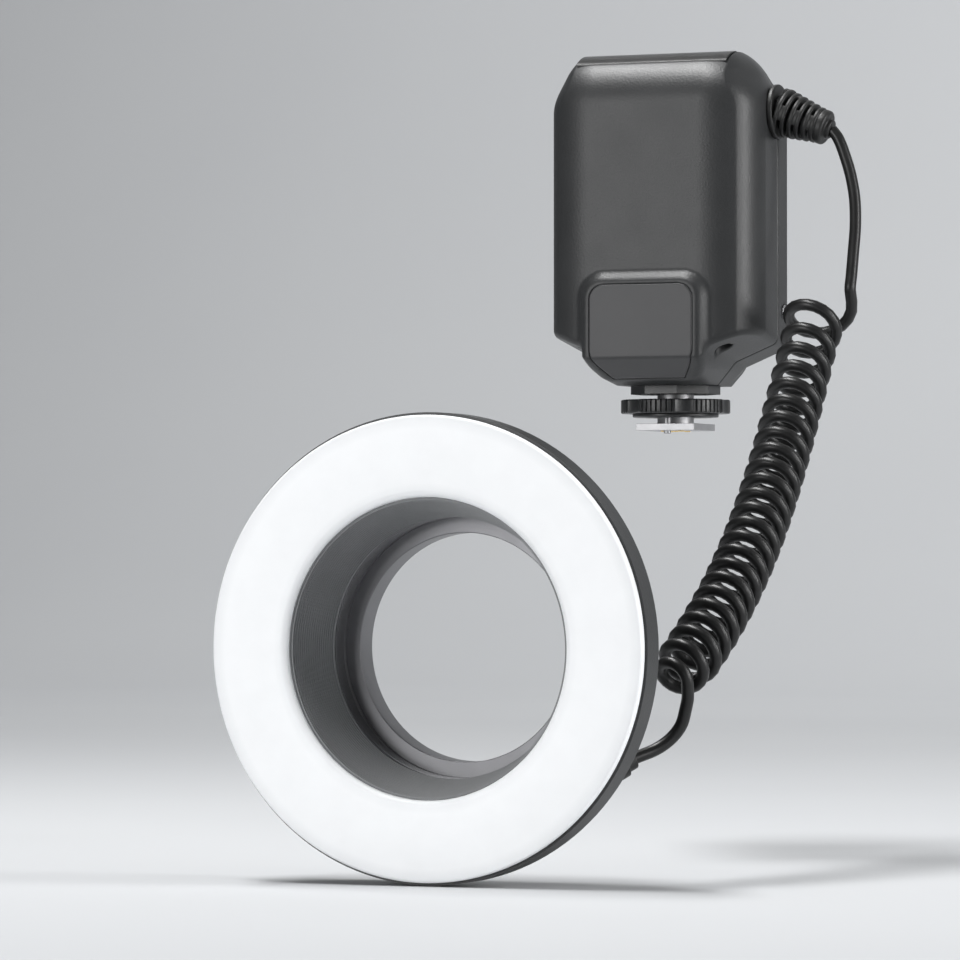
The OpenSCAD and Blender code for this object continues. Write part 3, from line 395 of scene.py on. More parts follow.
def opal_plastic():
    """Lit milky plastic: the whole face glows evenly, a little less towards its edges; that fall-off is
    partly the lit diffuser's own and partly painted shade on its rounded edges.
    """
    finish = Finish("opal_plastic", Roughness=0.42, Emission_Strength=0.12, Specular_IOR_Level=0.4)
    cloud = finish.speckle(9, 3.0)
    level = finish.node("ShaderNodeVectorMath", {"operation": "MULTIPLY_ADD"},
                        {0: finish.place(), 1: (1.0, 0.0, 1.0), 2: (0.0, 0.0, -RING_Z * MM)})
    off_axis = finish.node("ShaderNodeVectorMath", {"operation": "LENGTH"}, {0: level}, "Value")
    off_middle = off_axis - (RIM_R + MOUTH_R) / 2 * MM
    off_band = finish.node("ShaderNodeMath", {"operation": "ABSOLUTE"}, {0: off_middle})
    # Painted shade: the glow falls to grey at the mouth and the rim. This stands in partly for shade on the
    # rounded edges, and partly for the real fall-off of the lit diffuser's glow.
    painted_edge_shade = [(0.66, (1.0, 1.0, 1.0, 1.0)), (1.0, (0.2, 0.22, 0.24, 1.0))]
    share = off_band * (2 / (RIM_R - MOUTH_R) / MM)
    edge = finish.node("ShaderNodeValToRGB", {"stops": painted_edge_shade}, {"Fac": share})
    finish.feed("Base Color", finish.blend(cloud, (0.78, 0.79, 0.80, 1.0), (0.84, 0.85, 0.86, 1.0)))
    finish.feed("Emission Color", finish.blend(cloud * 0.12, edge, (0.9, 0.92, 0.94, 1.0)))
    finish.relief(finish.speckle(0.6, 2.0), 0.15, 0.03)
    return finish.material


def smoked_window():
    """Dark moulded plastic with a satin face, smoother than the shell around it."""
    finish = Finish("smoked_window", Specular_IOR_Level=0.42)
    cloud = finish.speckle(11, 3.0)
    fine = finish.speckle(0.3, 2.0)
    finish.feed("Base Color", finish.blend(cloud, (0.036, 0.036, 0.038, 1.0), (0.048, 0.048, 0.050, 1.0)))
    finish.feed("Roughness", cloud * 0.06 + fine * 0.08 + 0.37)
    finish.relief(fine, 0.2, 0.03)
    return finish.material


def display_cover():
    finish = Finish("display_cover", Roughness=0.08, Transmission_Weight=0.85, IOR=1.49)
    cloud = finish.speckle(16, 2.0)
    finish.feed("Base Color", finish.blend(cloud, (0.80, 0.83, 0.82, 1.0), (0.88, 0.90, 0.88, 1.0)))
    return finish.material


def display_cells():
    """A resting display: grey-green, with the faint ghost of its segments."""
    finish = Finish("display_cells", Roughness=0.3)
    columns = finish.node("ShaderNodeMath", {"operation": "PINGPONG"}, {0: finish.along("X"), 1: 1.6 * MM})
    rows = finish.node("ShaderNodeMath", {"operation": "PINGPONG"}, {0: finish.along("Z"), 1: 2.1 * MM})
    ghost = (columns < 0.22 * MM) * 0.5 + (rows < 0.2 * MM) * 0.5
    cloud = finish.speckle(12, 2.0)
    ground = finish.blend(cloud, (0.25, 0.29, 0.24, 1.0), (0.30, 0.34, 0.28, 1.0))
    finish.feed("Base Color", finish.blend(ghost * 0.22, ground, (0.14, 0.17, 0.14, 1.0)))
    return finish.material


def circuit_board():
    """Green solder mask over copper tracks."""
    finish = Finish("solder_mask", Specular_IOR_Level=0.5)
    tracks = finish.node("ShaderNodeTexBrick", {"offset": 0.37},
                         {"Vector": finish.place(), "Scale": 260.0, "Mortar Size": 0.012}, "Fac")
    cloud = finish.speckle(3, 2.0)
    mask = finish.blend(tracks, (0.012, 0.085, 0.035, 1.0), (0.03, 0.17, 0.07, 1.0))
    finish.feed("Base Color", finish.blend(cloud * 0.4, mask, (0.02, 0.11, 0.05, 1.0)))
    finish.feed("Roughness", tracks * 0.15 + cloud * 0.1 + 0.25)
    finish.relief(tracks, 0.3, 0.03)
    return finish.material


def cell_wrapping():
    """The plastic sleeve of a cell, dark with a coppery end, and the bare metal of its flat end."""
    finish = Finish("cell_wrapping", Roughness=0.26)
    coppery = finish.along("X") > 8 * MM
    bare = finish.along("X") < CELL_FLAT_X * MM
    cloud = finish.speckle(7, 3.0)
    dark = finish.blend(cloud, (0.03, 0.032, 0.036, 1.0), (0.05, 0.05, 0.055, 1.0))
    copper = finish.blend(cloud, (0.50, 0.26, 0.12, 1.0), (0.60, 0.32, 0.16, 1.0))
    metal = finish.blend(cloud, (0.58, 0.57, 0.55, 1.0), (0.70, 0.69, 0.67, 1.0))
    finish.feed("Base Color", finish.blend(bare, finish.blend(coppery, dark, copper), metal))
    finish.feed("Metallic", coppery * 0.7 + bare * 0.95)
    return finish.material


def clear_glass():
    finish = Finish("tube_glass", Roughness=0.04, Transmission_Weight=0.8, IOR=1.46)
    cloud = finish.speckle(4, 2.0)
    finish.feed("Base Color", finish.blend(cloud, (0.86, 0.90, 0.95, 1.0), (0.95, 0.97, 1.0, 1.0)))
    return finish.material


COOL = (0.96, 1.0, 1.04)
FINISHES = {
    "shell_plastic": moulded("shell_plastic", 0.021, 0.44, 0.55, 0.075, COOL),
    "trim_plastic": moulded("trim_plastic", 0.018, 0.38, 0.4, 0.04, COOL),
    "label_film": moulded("label_film", 0.008, 0.30, 0.8, 0.015),
    "window_smoke": smoked_window(),
    "lamp_red": moulded("lamp_red", 0.06, 0.2, 0.8, 0.01, (3.0, 0.3, 0.2)),
    "display_glass": display_cover(),
    "display_panel": display_cells(),
    "circuit_board": circuit_board(),
    "capacitor_sleeve": moulded("capacitor_sleeve", 0.05, 0.3, 0.9, 0.02, (0.5, 1.0, 1.5)),
    "tray_plastic": moulded("tray_plastic", 0.03, 0.5, 0.6, 0.05),
    "cell_wrap": cell_wrapping(),
    "contact_metal": plain_metal("contact_metal", (0.72, 0.70, 0.66), 0.28),
    "steel": plain_metal("steel", (0.48, 0.48, 0.49), 0.48),
    "black_screw": plain_metal("black_screw", (0.10, 0.10, 0.105), 0.4),
    "test_red": moulded("test_red", 0.16, 0.35, 0.6, 0.03, (1.9, 0.2, 0.15)),
    "contact_gold": plain_metal("contact_gold", (0.86, 0.62, 0.26), 0.25),
    "boot_rubber": rubber("boot_rubber", 0.014, 0.45),
    "opal": opal_plastic(),
    "baffle_black": moulded("baffle_black", 0.19, 0.46, 0.6, 0.03, (0.97, 1.0, 1.03)),
    "reflector_white": moulded("reflector_white", 0.80, 0.4, 1.0, 0.02),
    "tube_glass": clear_glass(),
    "lamp_chip": moulded("lamp_chip", 0.62, 0.35, 0.6, 0.02, (1.2, 1.0, 0.8)),
    "adapter_metal": plain_metal("adapter_metal", (0.26, 0.26, 0.27), 0.5),
    "cord_black": rubber("cord_black", 0.011, 0.37),
}


# Making meshes

def make_piece(name, mesh, body, slot, nodes):
    """Links a mesh as a piece that rides on a body, stands for these nodes and takes its slot's finish."""
    piece = bpy.data.objects.new(name, mesh)
    scene.collection.objects.link(piece)
    mesh.materials.append(FINISHES[slot])
    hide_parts(*nodes)
    if body:
        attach(piece, body)
    return piece


def smooth_mesh(name, points, faces, sharp=None):
    """A mesh from points in millimetres, with its faces turned outwards and shaded smooth."""
    mesh = bpy.data.meshes.new(name)
    mesh.from_pydata([tuple(c * MM for c in p) for p in points], [], faces)
    form = bmesh.new()
    form.from_mesh(mesh)
    bmesh.ops.recalc_face_normals(form, faces=form.faces)
    form.to_mesh(mesh)
    form.free()
    mesh.shade_smooth()
    if sharp:
        mesh.set_sharp_from_angle(angle=math.radians(sharp))
    return mesh


def soften(outline, radii, steps=5):
    """A closed outline with its corners rounded to the given radii."""
    made = []
    count = len(outline)
    for k in range(count):
        here = Vector(outline[k])
        back = Vector(outline[k - 1]) - here
        ahead = Vector(outline[(k + 1) % count]) - here
        radius = radii[k]
        half = back.angle(ahead) / 2
        if not radius or half > 1.54:
            made.append(tuple(here))
            continue
        inwards = (back.normalized() + ahead.normalized()).normalized()
        middle = here + inwards * (radius / math.sin(half))
        start = here + back.normalized() * (radius / math.tan(half)) - middle
        end = here + ahead.normalized() * (radius / math.tan(half)) - middle
        first = math.atan2(start.y, start.x)
        swing = (math.atan2(end.y, end.x) - first + math.pi) % (2 * math.pi) - math.pi
        for j in range(steps + 1):
            angle = first + swing * j / steps
            made.append((middle.x + radius * math.cos(angle), middle.y + radius * math.sin(angle)))
    return made


def turned(name, outline, steps, place, swell=None):
    """A closed outline of radius and height, turned once round. Swell changes the radius by angle."""
    points = []
    faces = []
    count = len(outline)
    for s in range(steps):
        angle = 2 * math.pi * s / steps
        for r, h in outline:
            points.append(place(r + (swell(r, h, angle) if swell else 0.0), angle, h))
    for s in range(steps):
        near = s * count
        far = (s + 1) % steps * count
        for k in range(count):
            after = (k + 1) % count
            faces.append((near + k, near + after, far + after, far + k))
    return smooth_mesh(name, points, faces, 38)


def in_ring(r, angle, w):
    return (r * math.cos(angle), RING_Y + w, RING_Z + r * math.sin(angle))


def on_foot(r, angle, h):
    return (r * math.cos(angle), r * math.sin(angle), h)


def on_dial(r, angle, h):
    return (DIAL_AT[0] + r * math.cos(angle), h, DIAL_AT[1] + r * math.sin(angle))


def both(a, b, r):
    """Where both distances are inside, with an outer edge rounded to r."""
    return np.minimum(np.maximum(a, b), -r) + np.hypot(np.maximum(a + r, 0), np.maximum(b + r, 0))


def either(a, b, r):
    """Where either distance is inside, with an inner corner filleted to r."""
    return -both(-a, -b, r)


def without(a, b, r):
    return both(a, -b, r)


def slab(u, v, half_u, half_v, r):
    """Distance to a flat rectangle with round corners."""
    a = np.abs(u) - half_u + r
    b = np.abs(v) - half_v + r
    return np.hypot(np.maximum(a, 0), np.maximum(b, 0)) + np.minimum(np.maximum(a, b), 0) - r


def drawn_onto(field, points, cell):
    """The points moved along the field's slope until they lie where it is zero."""
    nudge = 0.04 * cell
    for _ in range(3):
        here = field(*points.T)
        slope = np.empty_like(points)
        for axis in range(3):
            shift = np.zeros(3)
            shift[axis] = nudge
            slope[:, axis] = (field(*(points + shift).T) - field(*(points - shift).T)) / (2 * nudge)
        step = -(here / np.maximum((slope ** 2).sum(1), 0.2))[:, None] * slope
        points = points + np.clip(step, -0.45 * cell, 0.45 * cell)
    return points


def faces_between(inside, number):
    """One four-sided face across each grid edge that leads out of the form, through its four cells."""
    counts = inside.shape
    quads = []
    for axis in range(3):
        take = [slice(None)] * 3
        take[axis] = slice(0, -1)
        rest = [slice(None)] * 3
        rest[axis] = slice(1, None)
        near = inside[tuple(take)]
        change = near != inside[tuple(rest)]
        edge = np.argwhere(change)
        one, two = [k for k in range(3) if k != axis]
        keep = (edge[:, one] > 0) & (edge[:, two] > 0)
        keep &= (edge[:, one] < counts[one] - 1) & (edge[:, two] < counts[two] - 1)
        edge = edge[keep]
        ring = []
        for p, q in ((1, 1), (0, 1), (0, 0), (1, 0)):
            around = edge.copy()
            around[:, one] -= p
            around[:, two] -= q
            ring.append(number[tuple(around.T)])
        quad = np.stack(ring, 1)
        turn = near[tuple(edge.T)] != (axis == 1)
        quads.append(np.where(turn[:, None], quad, quad[:, ::-1]))
    return np.concatenate(quads)


def quad_mesh(name, points, quads):
    mesh = bpy.data.meshes.new(name)
    mesh.vertices.add(len(points))
    mesh.vertices.foreach_set("co", (points * MM).astype(np.float32).ravel())
    mesh.loops.add(quads.size)
    mesh.loops.foreach_set("vertex_index", quads.astype(np.int32).ravel())
    mesh.polygons.add(len(quads))
    mesh.polygons.foreach_set("loop_start", np.arange(0, quads.size, 4, dtype=np.int32))
    mesh.update(calc_edges=True)
    mesh.validate()
    mesh.shade_smooth()
    return mesh


def skin(name, field, low, high, cell):
    """A closed skin where a distance field in millimetres is zero, one point in each cell it crosses."""
    counts = [int(math.ceil((end - start) / cell)) + 1 for start, end in zip(low, high)]
    lines = [start + cell * np.arange(n) for start, n in zip(low, counts)]
    grid = np.meshgrid(*lines, indexing="ij", sparse=True)
    value = np.broadcast_to(field(*grid), counts)
    inside = value < 0
    nx, ny, nz = counts
    corners = [(a, b, c) for a in (0, 1) for b in (0, 1) for c in (0, 1)]
    filled = np.zeros((nx - 1, ny - 1, nz - 1), dtype=np.int8)
    for a, b, c in corners:
        filled += inside[a:nx - 1 + a, b:ny - 1 + b, c:nz - 1 + c]
    mixed = (filled > 0) & (filled < 8)
    cells = np.argwhere(mixed)
    number = np.full(mixed.shape, -1, dtype=np.int64)
    number[mixed] = np.arange(len(cells))
    total = np.zeros((len(cells), 3))
    hits = np.zeros(len(cells))
    for start in corners:
        for axis in range(3):
            if start[axis]:
                continue
            end = tuple(1 if k == axis else start[k] for k in range(3))
            first = value[tuple((cells + start).T)]
            second = value[tuple((cells + end).T)]
            crossed = (first < 0) != (second < 0)
            share = np.where(crossed, first / np.where(crossed, first - second, 1), 0)
            way = np.array(end) - np.array(start)
            total += crossed[:, None] * (np.array(start) + share[:, None] * way)
            hits += crossed
    points = np.array(low) + cell * (cells + total / hits[:, None])
    return quad_mesh(name, drawn_onto(field, points, cell), faces_between(inside, number))


def body_of(node):
    return frame["nodes"][node]["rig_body"]


def eased(node, width, slot, steps=2, sharp=28):
    """A piece in the place of a CAD node, with its flat faces joined up and its edges rounded over."""
    form = bmesh.new()
    form.from_mesh(frame["nodes"][node].data)
    bmesh.ops.remove_doubles(form, verts=form.verts, dist=2e-6)
    bmesh.ops.dissolve_limit(form, angle_limit=math.radians(0.5), verts=form.verts, edges=form.edges)
    edges = [e for e in form.edges if len(e.link_faces) == 2 and e.calc_face_angle() > math.radians(sharp)]
    bmesh.ops.bevel(form, geom=edges, offset=width * MM, offset_type="OFFSET", segments=steps, profile=0.5,
                    affect="EDGES", clamp_overlap=True)
    mesh = bpy.data.meshes.new(node + "_eased")
    form.to_mesh(mesh)
    form.free()
    mesh.shade_smooth()
    mesh.set_sharp_from_angle(angle=math.radians(50))
    piece = make_piece(node + "_eased", mesh, body_of(node), slot, (node,))
    level = piece.modifiers.new("level_faces", "WEIGHTED_NORMAL")
    level.keep_sharp = True
    return piece


# The curly cord

def opened(turn):
    """Turns along the axis: the first curls stand a little further apart than the rest."""
    return turn + FIRST_OPEN * (1 - math.exp(-turn))


def curl_point(turn):
    t = opened(turn) / opened(CURLS)
    a, b, c, d = CURL_AXIS
    middle = (1 - t) ** 3 * a + 3 * (1 - t) ** 2 * t * b + 3 * (1 - t) * t * t * c + t ** 3 * d
    along = ((1 - t) ** 2 * (b - a) + 2 * (1 - t) * t * (c - b) + t * t * (d - c)).normalized()
    right = Vector((0, 1, -1)).cross(along).normalized()
    if right.x < 0:
        right.negate()
    front = along.cross(right)
    if front.z < 0:
        front.negate()
    turns, radii = zip(*CURL_FLARE)
    r = float(np.interp(turn, turns, radii))
    angle = -2 * math.pi * turn
    return middle + r * (math.cos(angle) * right + math.sin(angle) * front)


def curve_through(points, steps, first_way=None, last_way=None):
    """A smooth curve through the points, without its last one. The ways are its directions at the ends."""
    points = [Vector(p) for p in points]
    last = len(points) - 1
    made = []
    for k in range(last):
        step = points[k + 1] - points[k]
        leave = step if k == 0 else (points[k + 1] - points[k - 1]) / 2
        meet = step if k == last - 1 else (points[k + 2] - points[k]) / 2
        if first_way and k == 0:
            leave = first_way * step.length
        if last_way and k == last - 1:
            meet = last_way * step.length
        for j in range(steps):
            t = j / steps
            made.append((2 * t ** 3 - 3 * t * t + 1) * points[k] + (t ** 3 - 2 * t * t + t) * leave
                        + (3 * t * t - 2 * t ** 3) * points[k + 1] + (t ** 3 - t * t) * meet)
    return made


def cord_path():
    first_dir = (curl_point(0.01) - curl_point(0)).normalized()
    last_dir = (curl_point(CURLS) - curl_point(CURLS - 0.01)).normalized()
    first = curl_point(0) - CORD_D * first_dir
    last = curl_point(CURLS) + CORD_D * last_dir
    curls = [curl_point(k / 20) for k in range(CURLS * 20 + 1)]
    upper = curve_through([BOOT_TIP, *UPPER_ROUTE, first], 8, last_way=first_dir)
    lower = curve_through([last, *LOWER_ROUTE, GLAND_TIP], 8, first_way=last_dir)
    return upper + [first] + curls + lower + [GLAND_TIP]


def tube(name, path, radius, sides):
    """One closed tube along a path, its rings carried along without twist."""
    points = []
    faces = []
    count = len(path)
    across = None
    for k, place in enumerate(path):
        along = (path[min(k + 1, count - 1)] - path[max(k - 1, 0)]).normalized()
        across = along.orthogonal() if across is None else across - along * across.dot(along)
        across.normalize()
        other = along.cross(across)
        for j in range(sides):
            angle = 2 * math.pi * j / sides
            points.append(place + radius * (math.cos(angle) * across + math.sin(angle) * other))
    for k in range(count - 1):
        for j in range(sides):
            a = k * sides + j
            b = k * sides + (j + 1) % sides
            faces.append((a, b, b + sides, a + sides))
    faces.append(tuple(range(sides)))
    faces.append(tuple((count - 1) * sides + j for j in range(sides)))
    return smooth_mesh(name, points, faces, 60)


def make_cord():
    path = cord_path()
    length = sum((b - a).length for a, b in zip(path, path[1:]))
    mesh = tube("curly_cord", path, CORD_D / 2, 14)
    cord = make_piece("curly_cord", mesh, None, "cord_black",
                      ("cord_lead_upper", "cord_coil", "cord_lead_lower"))
    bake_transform(cord)
    [p * MM for p in path]


make_cord()


# The control unit's shells

def top_distance(y, z):
    """Height above the top, which falls on an arc behind its front fillet."""
    y, z = np.broadcast_arrays(y, z)
    mid_y = FRONT_Y + TOP_FILLET_R
    mid_z = UNIT_TOP - TOP_FALL_R
    fall = np.hypot(y - mid_y, z - mid_z) - TOP_FALL_R
    return np.where((y > mid_y) & (z > mid_z), fall, z - UNIT_TOP)


def front_distance(x, y):
    """Distance ahead of the front face, which bows back towards its sides."""
    off = np.maximum(np.abs(x) - FRONT_FLAT, 0)
    lead = FRONT_Y + FRONT_BOW_R - y
    return np.where(lead > 0, np.hypot(off, lead) - FRONT_BOW_R, off - FRONT_BOW_R)


def crest_distance(front, y, z):
    return both(front, top_distance(y, z), TOP_FILLET_R)


def banded(a, b, width, crease):
    """Where both distances are inside, with a rounded band along their edge.

    It meets each side at a crease, given as the tangent of the angle there.
    """
    reach = width / (1 - crease)
    arc = np.hypot(np.maximum(a + reach, 0), np.maximum(b + reach, 0))
    return np.maximum(np.maximum(a, b), arc - reach * np.sqrt(1 + crease * crease))


def block_field(x, y, z):
    """The unit's block: a bowed front and a domed top, with a band that widens over the shoulders."""
    rise = np.clip((z - SHOULDER_Z) / SHOULDER_H, 0, 1)
    share = rise * rise * (3 - 2 * rise)
    width = CORNER_BAND + (SHOULDER_BAND - CORNER_BAND) * share
    crease = CORNER_CREASE + (SHOULDER_CREASE - CORNER_CREASE) * share
    form = banded(crest_distance(front_distance(x, y), y, z), np.abs(x) - HALF_W, width, crease)
    form = both(form, y - REAR_Y, 2.0)
    under = (UNDER_Z + UNDER_RISE * (np.abs(x) - 20) - UNDER_FALL * (y - FRONT_Y) - z) / UNDER_SLOPE
    return both(form, under, 1.6)


def pod_front(y, z):
    """Distance out of the pod's upright face and its lower facet."""
    face = POD_Y - y
    facet = -math.cos(FACET_TILT) * (y - POD_Y) - math.sin(FACET_TILT) * (z - CREASE_Z)
    return both(face, facet, 0.5)


def pod_field(x, y, z):
    wide = np.abs(x)
    outline = both(wide - POD_HALF, z - POD_TOP, 7.0)
    outline = both(outline, POD_TAPER[0] * (wide - POD_HALF) - POD_TAPER[1] * (z - CREASE_Z + 1.5), 2.0)
    nose = -NOSE_WAY[0] * (y + 22) - NOSE_WAY[1] * (z - 14.7)
    front = both(pod_front(y, z) + 0.15, nose, 0.6)
    rear = both(y - 11 - (z - NECK_Z) * NECK_LEAN, (y + z - 38) / 1.414, 1.0)
    return both(both(outline, front, 2.4), rear, 1.0)


def outer_field(x, y, z):
    ridge = np.maximum(np.maximum(np.abs(x) - 14, y + 16.5), z - 19.2)
    block = np.maximum(block_field(x, y, z), -ridge)
    return np.maximum(either(block, pod_field(x, y, z), 2.2), NECK_Z - z)


def window_outline(x, z):
    off = np.abs(x) - WINDOW_HALF
    top = both(off, z - WINDOW_TOP, 4.5)
    slope = FACET_TAPER / (CREASE_Z - FACET_LOW_Z)
    taper = (off + (CREASE_Z - z) * slope) / math.hypot(1, slope)
    return both(both(top, taper, 2.0), FACET_LOW_Z - z, 0.6)


def off_screw(x, y):
    """Distance from the axis of the nearer of the two shell screws."""
    return np.hypot(np.abs(x) - SHELL_SCREW[0], y - SHELL_SCREW[1])


def door_block(x, y, z, inner_x, mid_y, half_y, half_z):
    """A block in the unit's battery side, level with the door, that reaches in as far as inner_x."""
    return np.maximum(np.maximum(x - inner_x, np.abs(y - mid_y) - half_y), np.abs(z - DOOR_MID_Z) - half_z)


def cavity_field(x, y, z):
    """The space inside the shells, less the door's frame and the screw bosses."""
    space = np.maximum(block_field(x, y, z) + WALL, CAVITY_FLOOR - z)
    space = np.maximum(space, -door_block(x, y, z, inner_x=-29.3, mid_y=-4.9, half_y=10.9, half_z=34.8))
    boss = np.maximum(off_screw(x, y) - 3, z - 36)
    return np.maximum(space, -boss)


def side_cuts(x, y, z):
    """The battery door's recess, knuckle and opening, and the boot's hole."""
    recess = door_block(x, y, z, inner_x=-31.65, mid_y=-4.65, half_y=9.85, half_z=DOOR_HALF_Z)
    knuckle = np.hypot(x - HINGE[0], y - HINGE[1]) - KNUCKLE_ROOM_R
    knuckle = np.maximum(knuckle, np.abs(z - DOOR_MID_Z) - DOOR_HALF_Z)
    opening = door_block(x, y, z, inner_x=-28, mid_y=-6, half_y=7.1, half_z=29.8)
    hole = np.maximum(np.hypot(y - BOOT_BASE.y, z - BOOT_BASE.z) - BOOT_HOLE_R, 20 - x)
    return np.minimum(np.minimum(recess, knuckle), np.minimum(opening, hole))


def front_shell_field(x, y, z):
    form = np.maximum(outer_field(x, y, z), -cavity_field(x, y, z))
    form = both(form, y - SEAM_Y + SEAM_GAP, 0.35)
    window = np.maximum(window_outline(x, z), -pod_front(y, z) - WINDOW_T - 0.05)
    form = without(form, window, 0.12)
    lamp = np.maximum(np.hypot(x, z - LAMP_Z) - 4.1, y + 19)
    form = np.maximum(form, -lamp)
    strip = np.maximum(np.abs(x) - STRIP_HALF_X, np.abs(y - STRIP_MID_Y) - STRIP_HALF_Y)
    strip = np.maximum(strip, -crest_distance(FRONT_Y - y, y, z) - STRIP_DEEP)
    form = without(form, strip, 0.15)
    form = without(form, np.maximum(off_screw(x, y) - 2.6, z - 27.8), 0.35)
    form = np.maximum(form, -np.maximum(off_screw(x, y) - 1.3, z - 35))
    return without(form, side_cuts(x, y, z), 0.3)


def panel_cuts(x, y, z):
    """Holes in the control panel for its display, keys, dial, switch and button."""
    through = PANEL_FACE - 1 - y
    cover = np.maximum(slab(x, z - DISPLAY_Z, *COVER_HALF, 2.0), 13 - y)
    holes = slab(x, z - DISPLAY_Z, *DISPLAY_HALF, 1.4)
    for key in KEY_X:
        holes = np.minimum(holes, slab(x - key, z - KEY_Z, *KEY_HALF, 1.4))
    holes = np.minimum(holes, np.hypot(x - DIAL_AT[0], z - DIAL_AT[1]) - DIAL_HOLE_R)
    switch_x = SWITCH_AT[0] - SWITCH_TRAVEL / 2
    holes = np.minimum(holes, slab(x - switch_x, z - SWITCH_AT[1], *SWITCH_HALF, 1.0))
    holes = np.minimum(holes, np.hypot(x - TEST_AT[0], z - TEST_AT[1]) - TEST_HOLE_R)
    return np.minimum(cover, np.maximum(holes, through))


def rear_cover_field(x, y, z):
    panel = both(slab(x, z - PANEL_MID_Z, PANEL_HALF_W, PANEL_HALF_H, PANEL_CORNER), y - PANEL_Y, 1.3)
    form = either(outer_field(x, y, z), np.maximum(panel, 4 - y), 1.6)
    form = np.maximum(form, NECK_Z - z)
    behind = slab(x, z - PANEL_MID_Z, PANEL_HALF_W - PANEL_WALL, PANEL_HALF_H - PANEL_WALL,
                  PANEL_CORNER - PANEL_WALL)
    behind = np.maximum(np.maximum(behind, y - PANEL_FACE), 5.9 - y)
    space = np.minimum(cavity_field(x, y, z), behind)
    form = both(np.maximum(form, -space), SEAM_Y + SEAM_GAP - y, 0.35)
    form = without(form, panel_cuts(x, y, z), 0.3)
    jack = np.maximum(np.hypot(y - JACK_AT[0], z - JACK_AT[1]) - JACK_HOLE_R, 20 - x)
    form = without(form, jack, 0.2)
    return without(form, side_cuts(x, y, z), 0.3)


def window_field(x, y, z):
    front = pod_front(y, z)
    return np.maximum(both(window_outline(x, z), front, 0.3), -front - WINDOW_T)


def make_shells():
    shell = skin("front_shell_dressed", front_shell_field, (-34, -30.2, 13), (34, -1.6, 113.6), 0.5)
    make_piece("front_shell_dressed", shell, "control_unit", "shell_plastic", ("front_shell",))
    cover = skin("rear_cover_dressed", rear_cover_field, (-34, -2.4, 13), (34, 14.5, 113.6), 0.5)
    make_piece("rear_cover_dressed", cover, "control_unit", "shell_plastic", ("rear_cover",))
    window = skin("focus_window", window_field, (-17, -30, 14.7), (17, -20, 43.6), 0.3)
    make_piece("focus_window", window, "control_unit", "window_smoke", ("af_window",))


make_shells()
eased("rating_plate", 0.12, "label_film")


# The cord boot

def boot_field(x, y, z):
    """A flange, then drooping ribs on a core, with webs between the ribs turn and turn about."""
    slope = math.sin(BOOT_DROOP)
    level = math.cos(BOOT_DROOP)
    out = (x - BOOT_BASE.x) * level - (z - BOOT_BASE.z) * slope
    up = (x - BOOT_BASE.x) * slope + (z - BOOT_BASE.z) * level
    across = y - BOOT_BASE.y
    round_axis = np.hypot(up, across)
    side = np.hypot(y - BOOT_BASE.y, z - BOOT_BASE.z)
    flange = both(side - BOOT_FLANGE_R, np.maximum(HALF_W - x, x - BOOT_FLANGE_X), 0.45)
    neck = np.maximum(side - BOOT_NECK_R, np.abs(x - 33) - 2.5)
    core = round_axis - (BOOT_CORE_R - BOOT_CORE_TAPER * out)
    core = np.maximum(core, np.maximum(-1 - out, out - 15))
    form = np.minimum(np.minimum(flange, neck), core)
    step = BOOT_RIB_SPAN / BOOT_RIBS
    for k in range(BOOT_RIBS):
        r = BOOT_RIB_R - BOOT_RIB_LOSS * (k + 0.5) / BOOT_RIBS
        rib = both(round_axis - r, np.abs(out - (k + 0.675) * step) - BOOT_RIB_HALF, 0.35)
        form = either(form, rib, 0.2)
        web = np.abs(up if k % 2 else across) - BOOT_WEB_HALF
        web = np.maximum(np.maximum(web, round_axis - r + 0.15), np.abs(out - (k + 0.175) * step) - 0.8)
        form = np.minimum(form, web)
    nose = both(round_axis - BOOT_NOSE_R, np.maximum(13.2 - out, out - 15.9), 0.9)
    collar = both(round_axis - BOOT_COLLAR_R, np.maximum(13 - out, out - BOOT_L), 0.6)
    form = either(form, either(nose, collar, 0.5), 0.2)
    return np.maximum(form, np.where(side < BOOT_NECK_R, 30.5, HALF_W) - x)


boot = skin("cord_boot_ribs", boot_field, (30, -13, 80), (53, 5, 104), 0.26)
make_piece("cord_boot_ribs", boot, "control_unit", "boot_rubber", ("cord_boot",))


# Screws with a cross recess

def screws(name, node, slot, places, turn, head_r, head, shank_r, shank):
    """Screws at these places. Their axis runs from head to shank, and turn lays it in the frame."""
    def field(x, y, z):
        off = np.hypot(x, y)
        cap = both(off - head_r, np.maximum(-z, z - head), 0.35)
        arm = np.minimum(np.maximum(np.abs(x) - 0.2 * head_r, np.abs(y) - 0.62 * head_r),
                         np.maximum(np.abs(y) - 0.2 * head_r, np.abs(x) - 0.62 * head_r))
        recess = np.maximum(arm, z - 0.6 * head + 0.35 * off)
        stem = np.maximum(off - shank_r, np.maximum(head / 2 - z, z - shank))
        return np.minimum(np.maximum(cap, -recess), stem)

    low = (-head_r - 0.3, -head_r - 0.3, -0.3)
    high = (head_r + 0.3, head_r + 0.3, shank + 0.3)
    one = skin(name + "_one", field, low, high, head_r / 14)
    spots = np.array([v.co for v in one.vertices]) / MM
    sides = [tuple(p.vertices) for p in one.polygons]
    points = []
    faces = []
    for place in places:
        first = len(points)
        points.extend(turn(spot, place) for spot in spots)
        faces.extend(tuple(first + v for v in side) for side in sides)
    bpy.data.meshes.remove(one)
    return make_piece(name, smooth_mesh(name, points, faces, 40), body_of(node), slot, (node,))


def upwards(spot, place):
    return (place[0] + spot[0], place[1] + spot[1], place[2] + spot[2])


def forwards(spot, place):
    return (place[0] + spot[0], place[1] - spot[2], place[2] + spot[1])


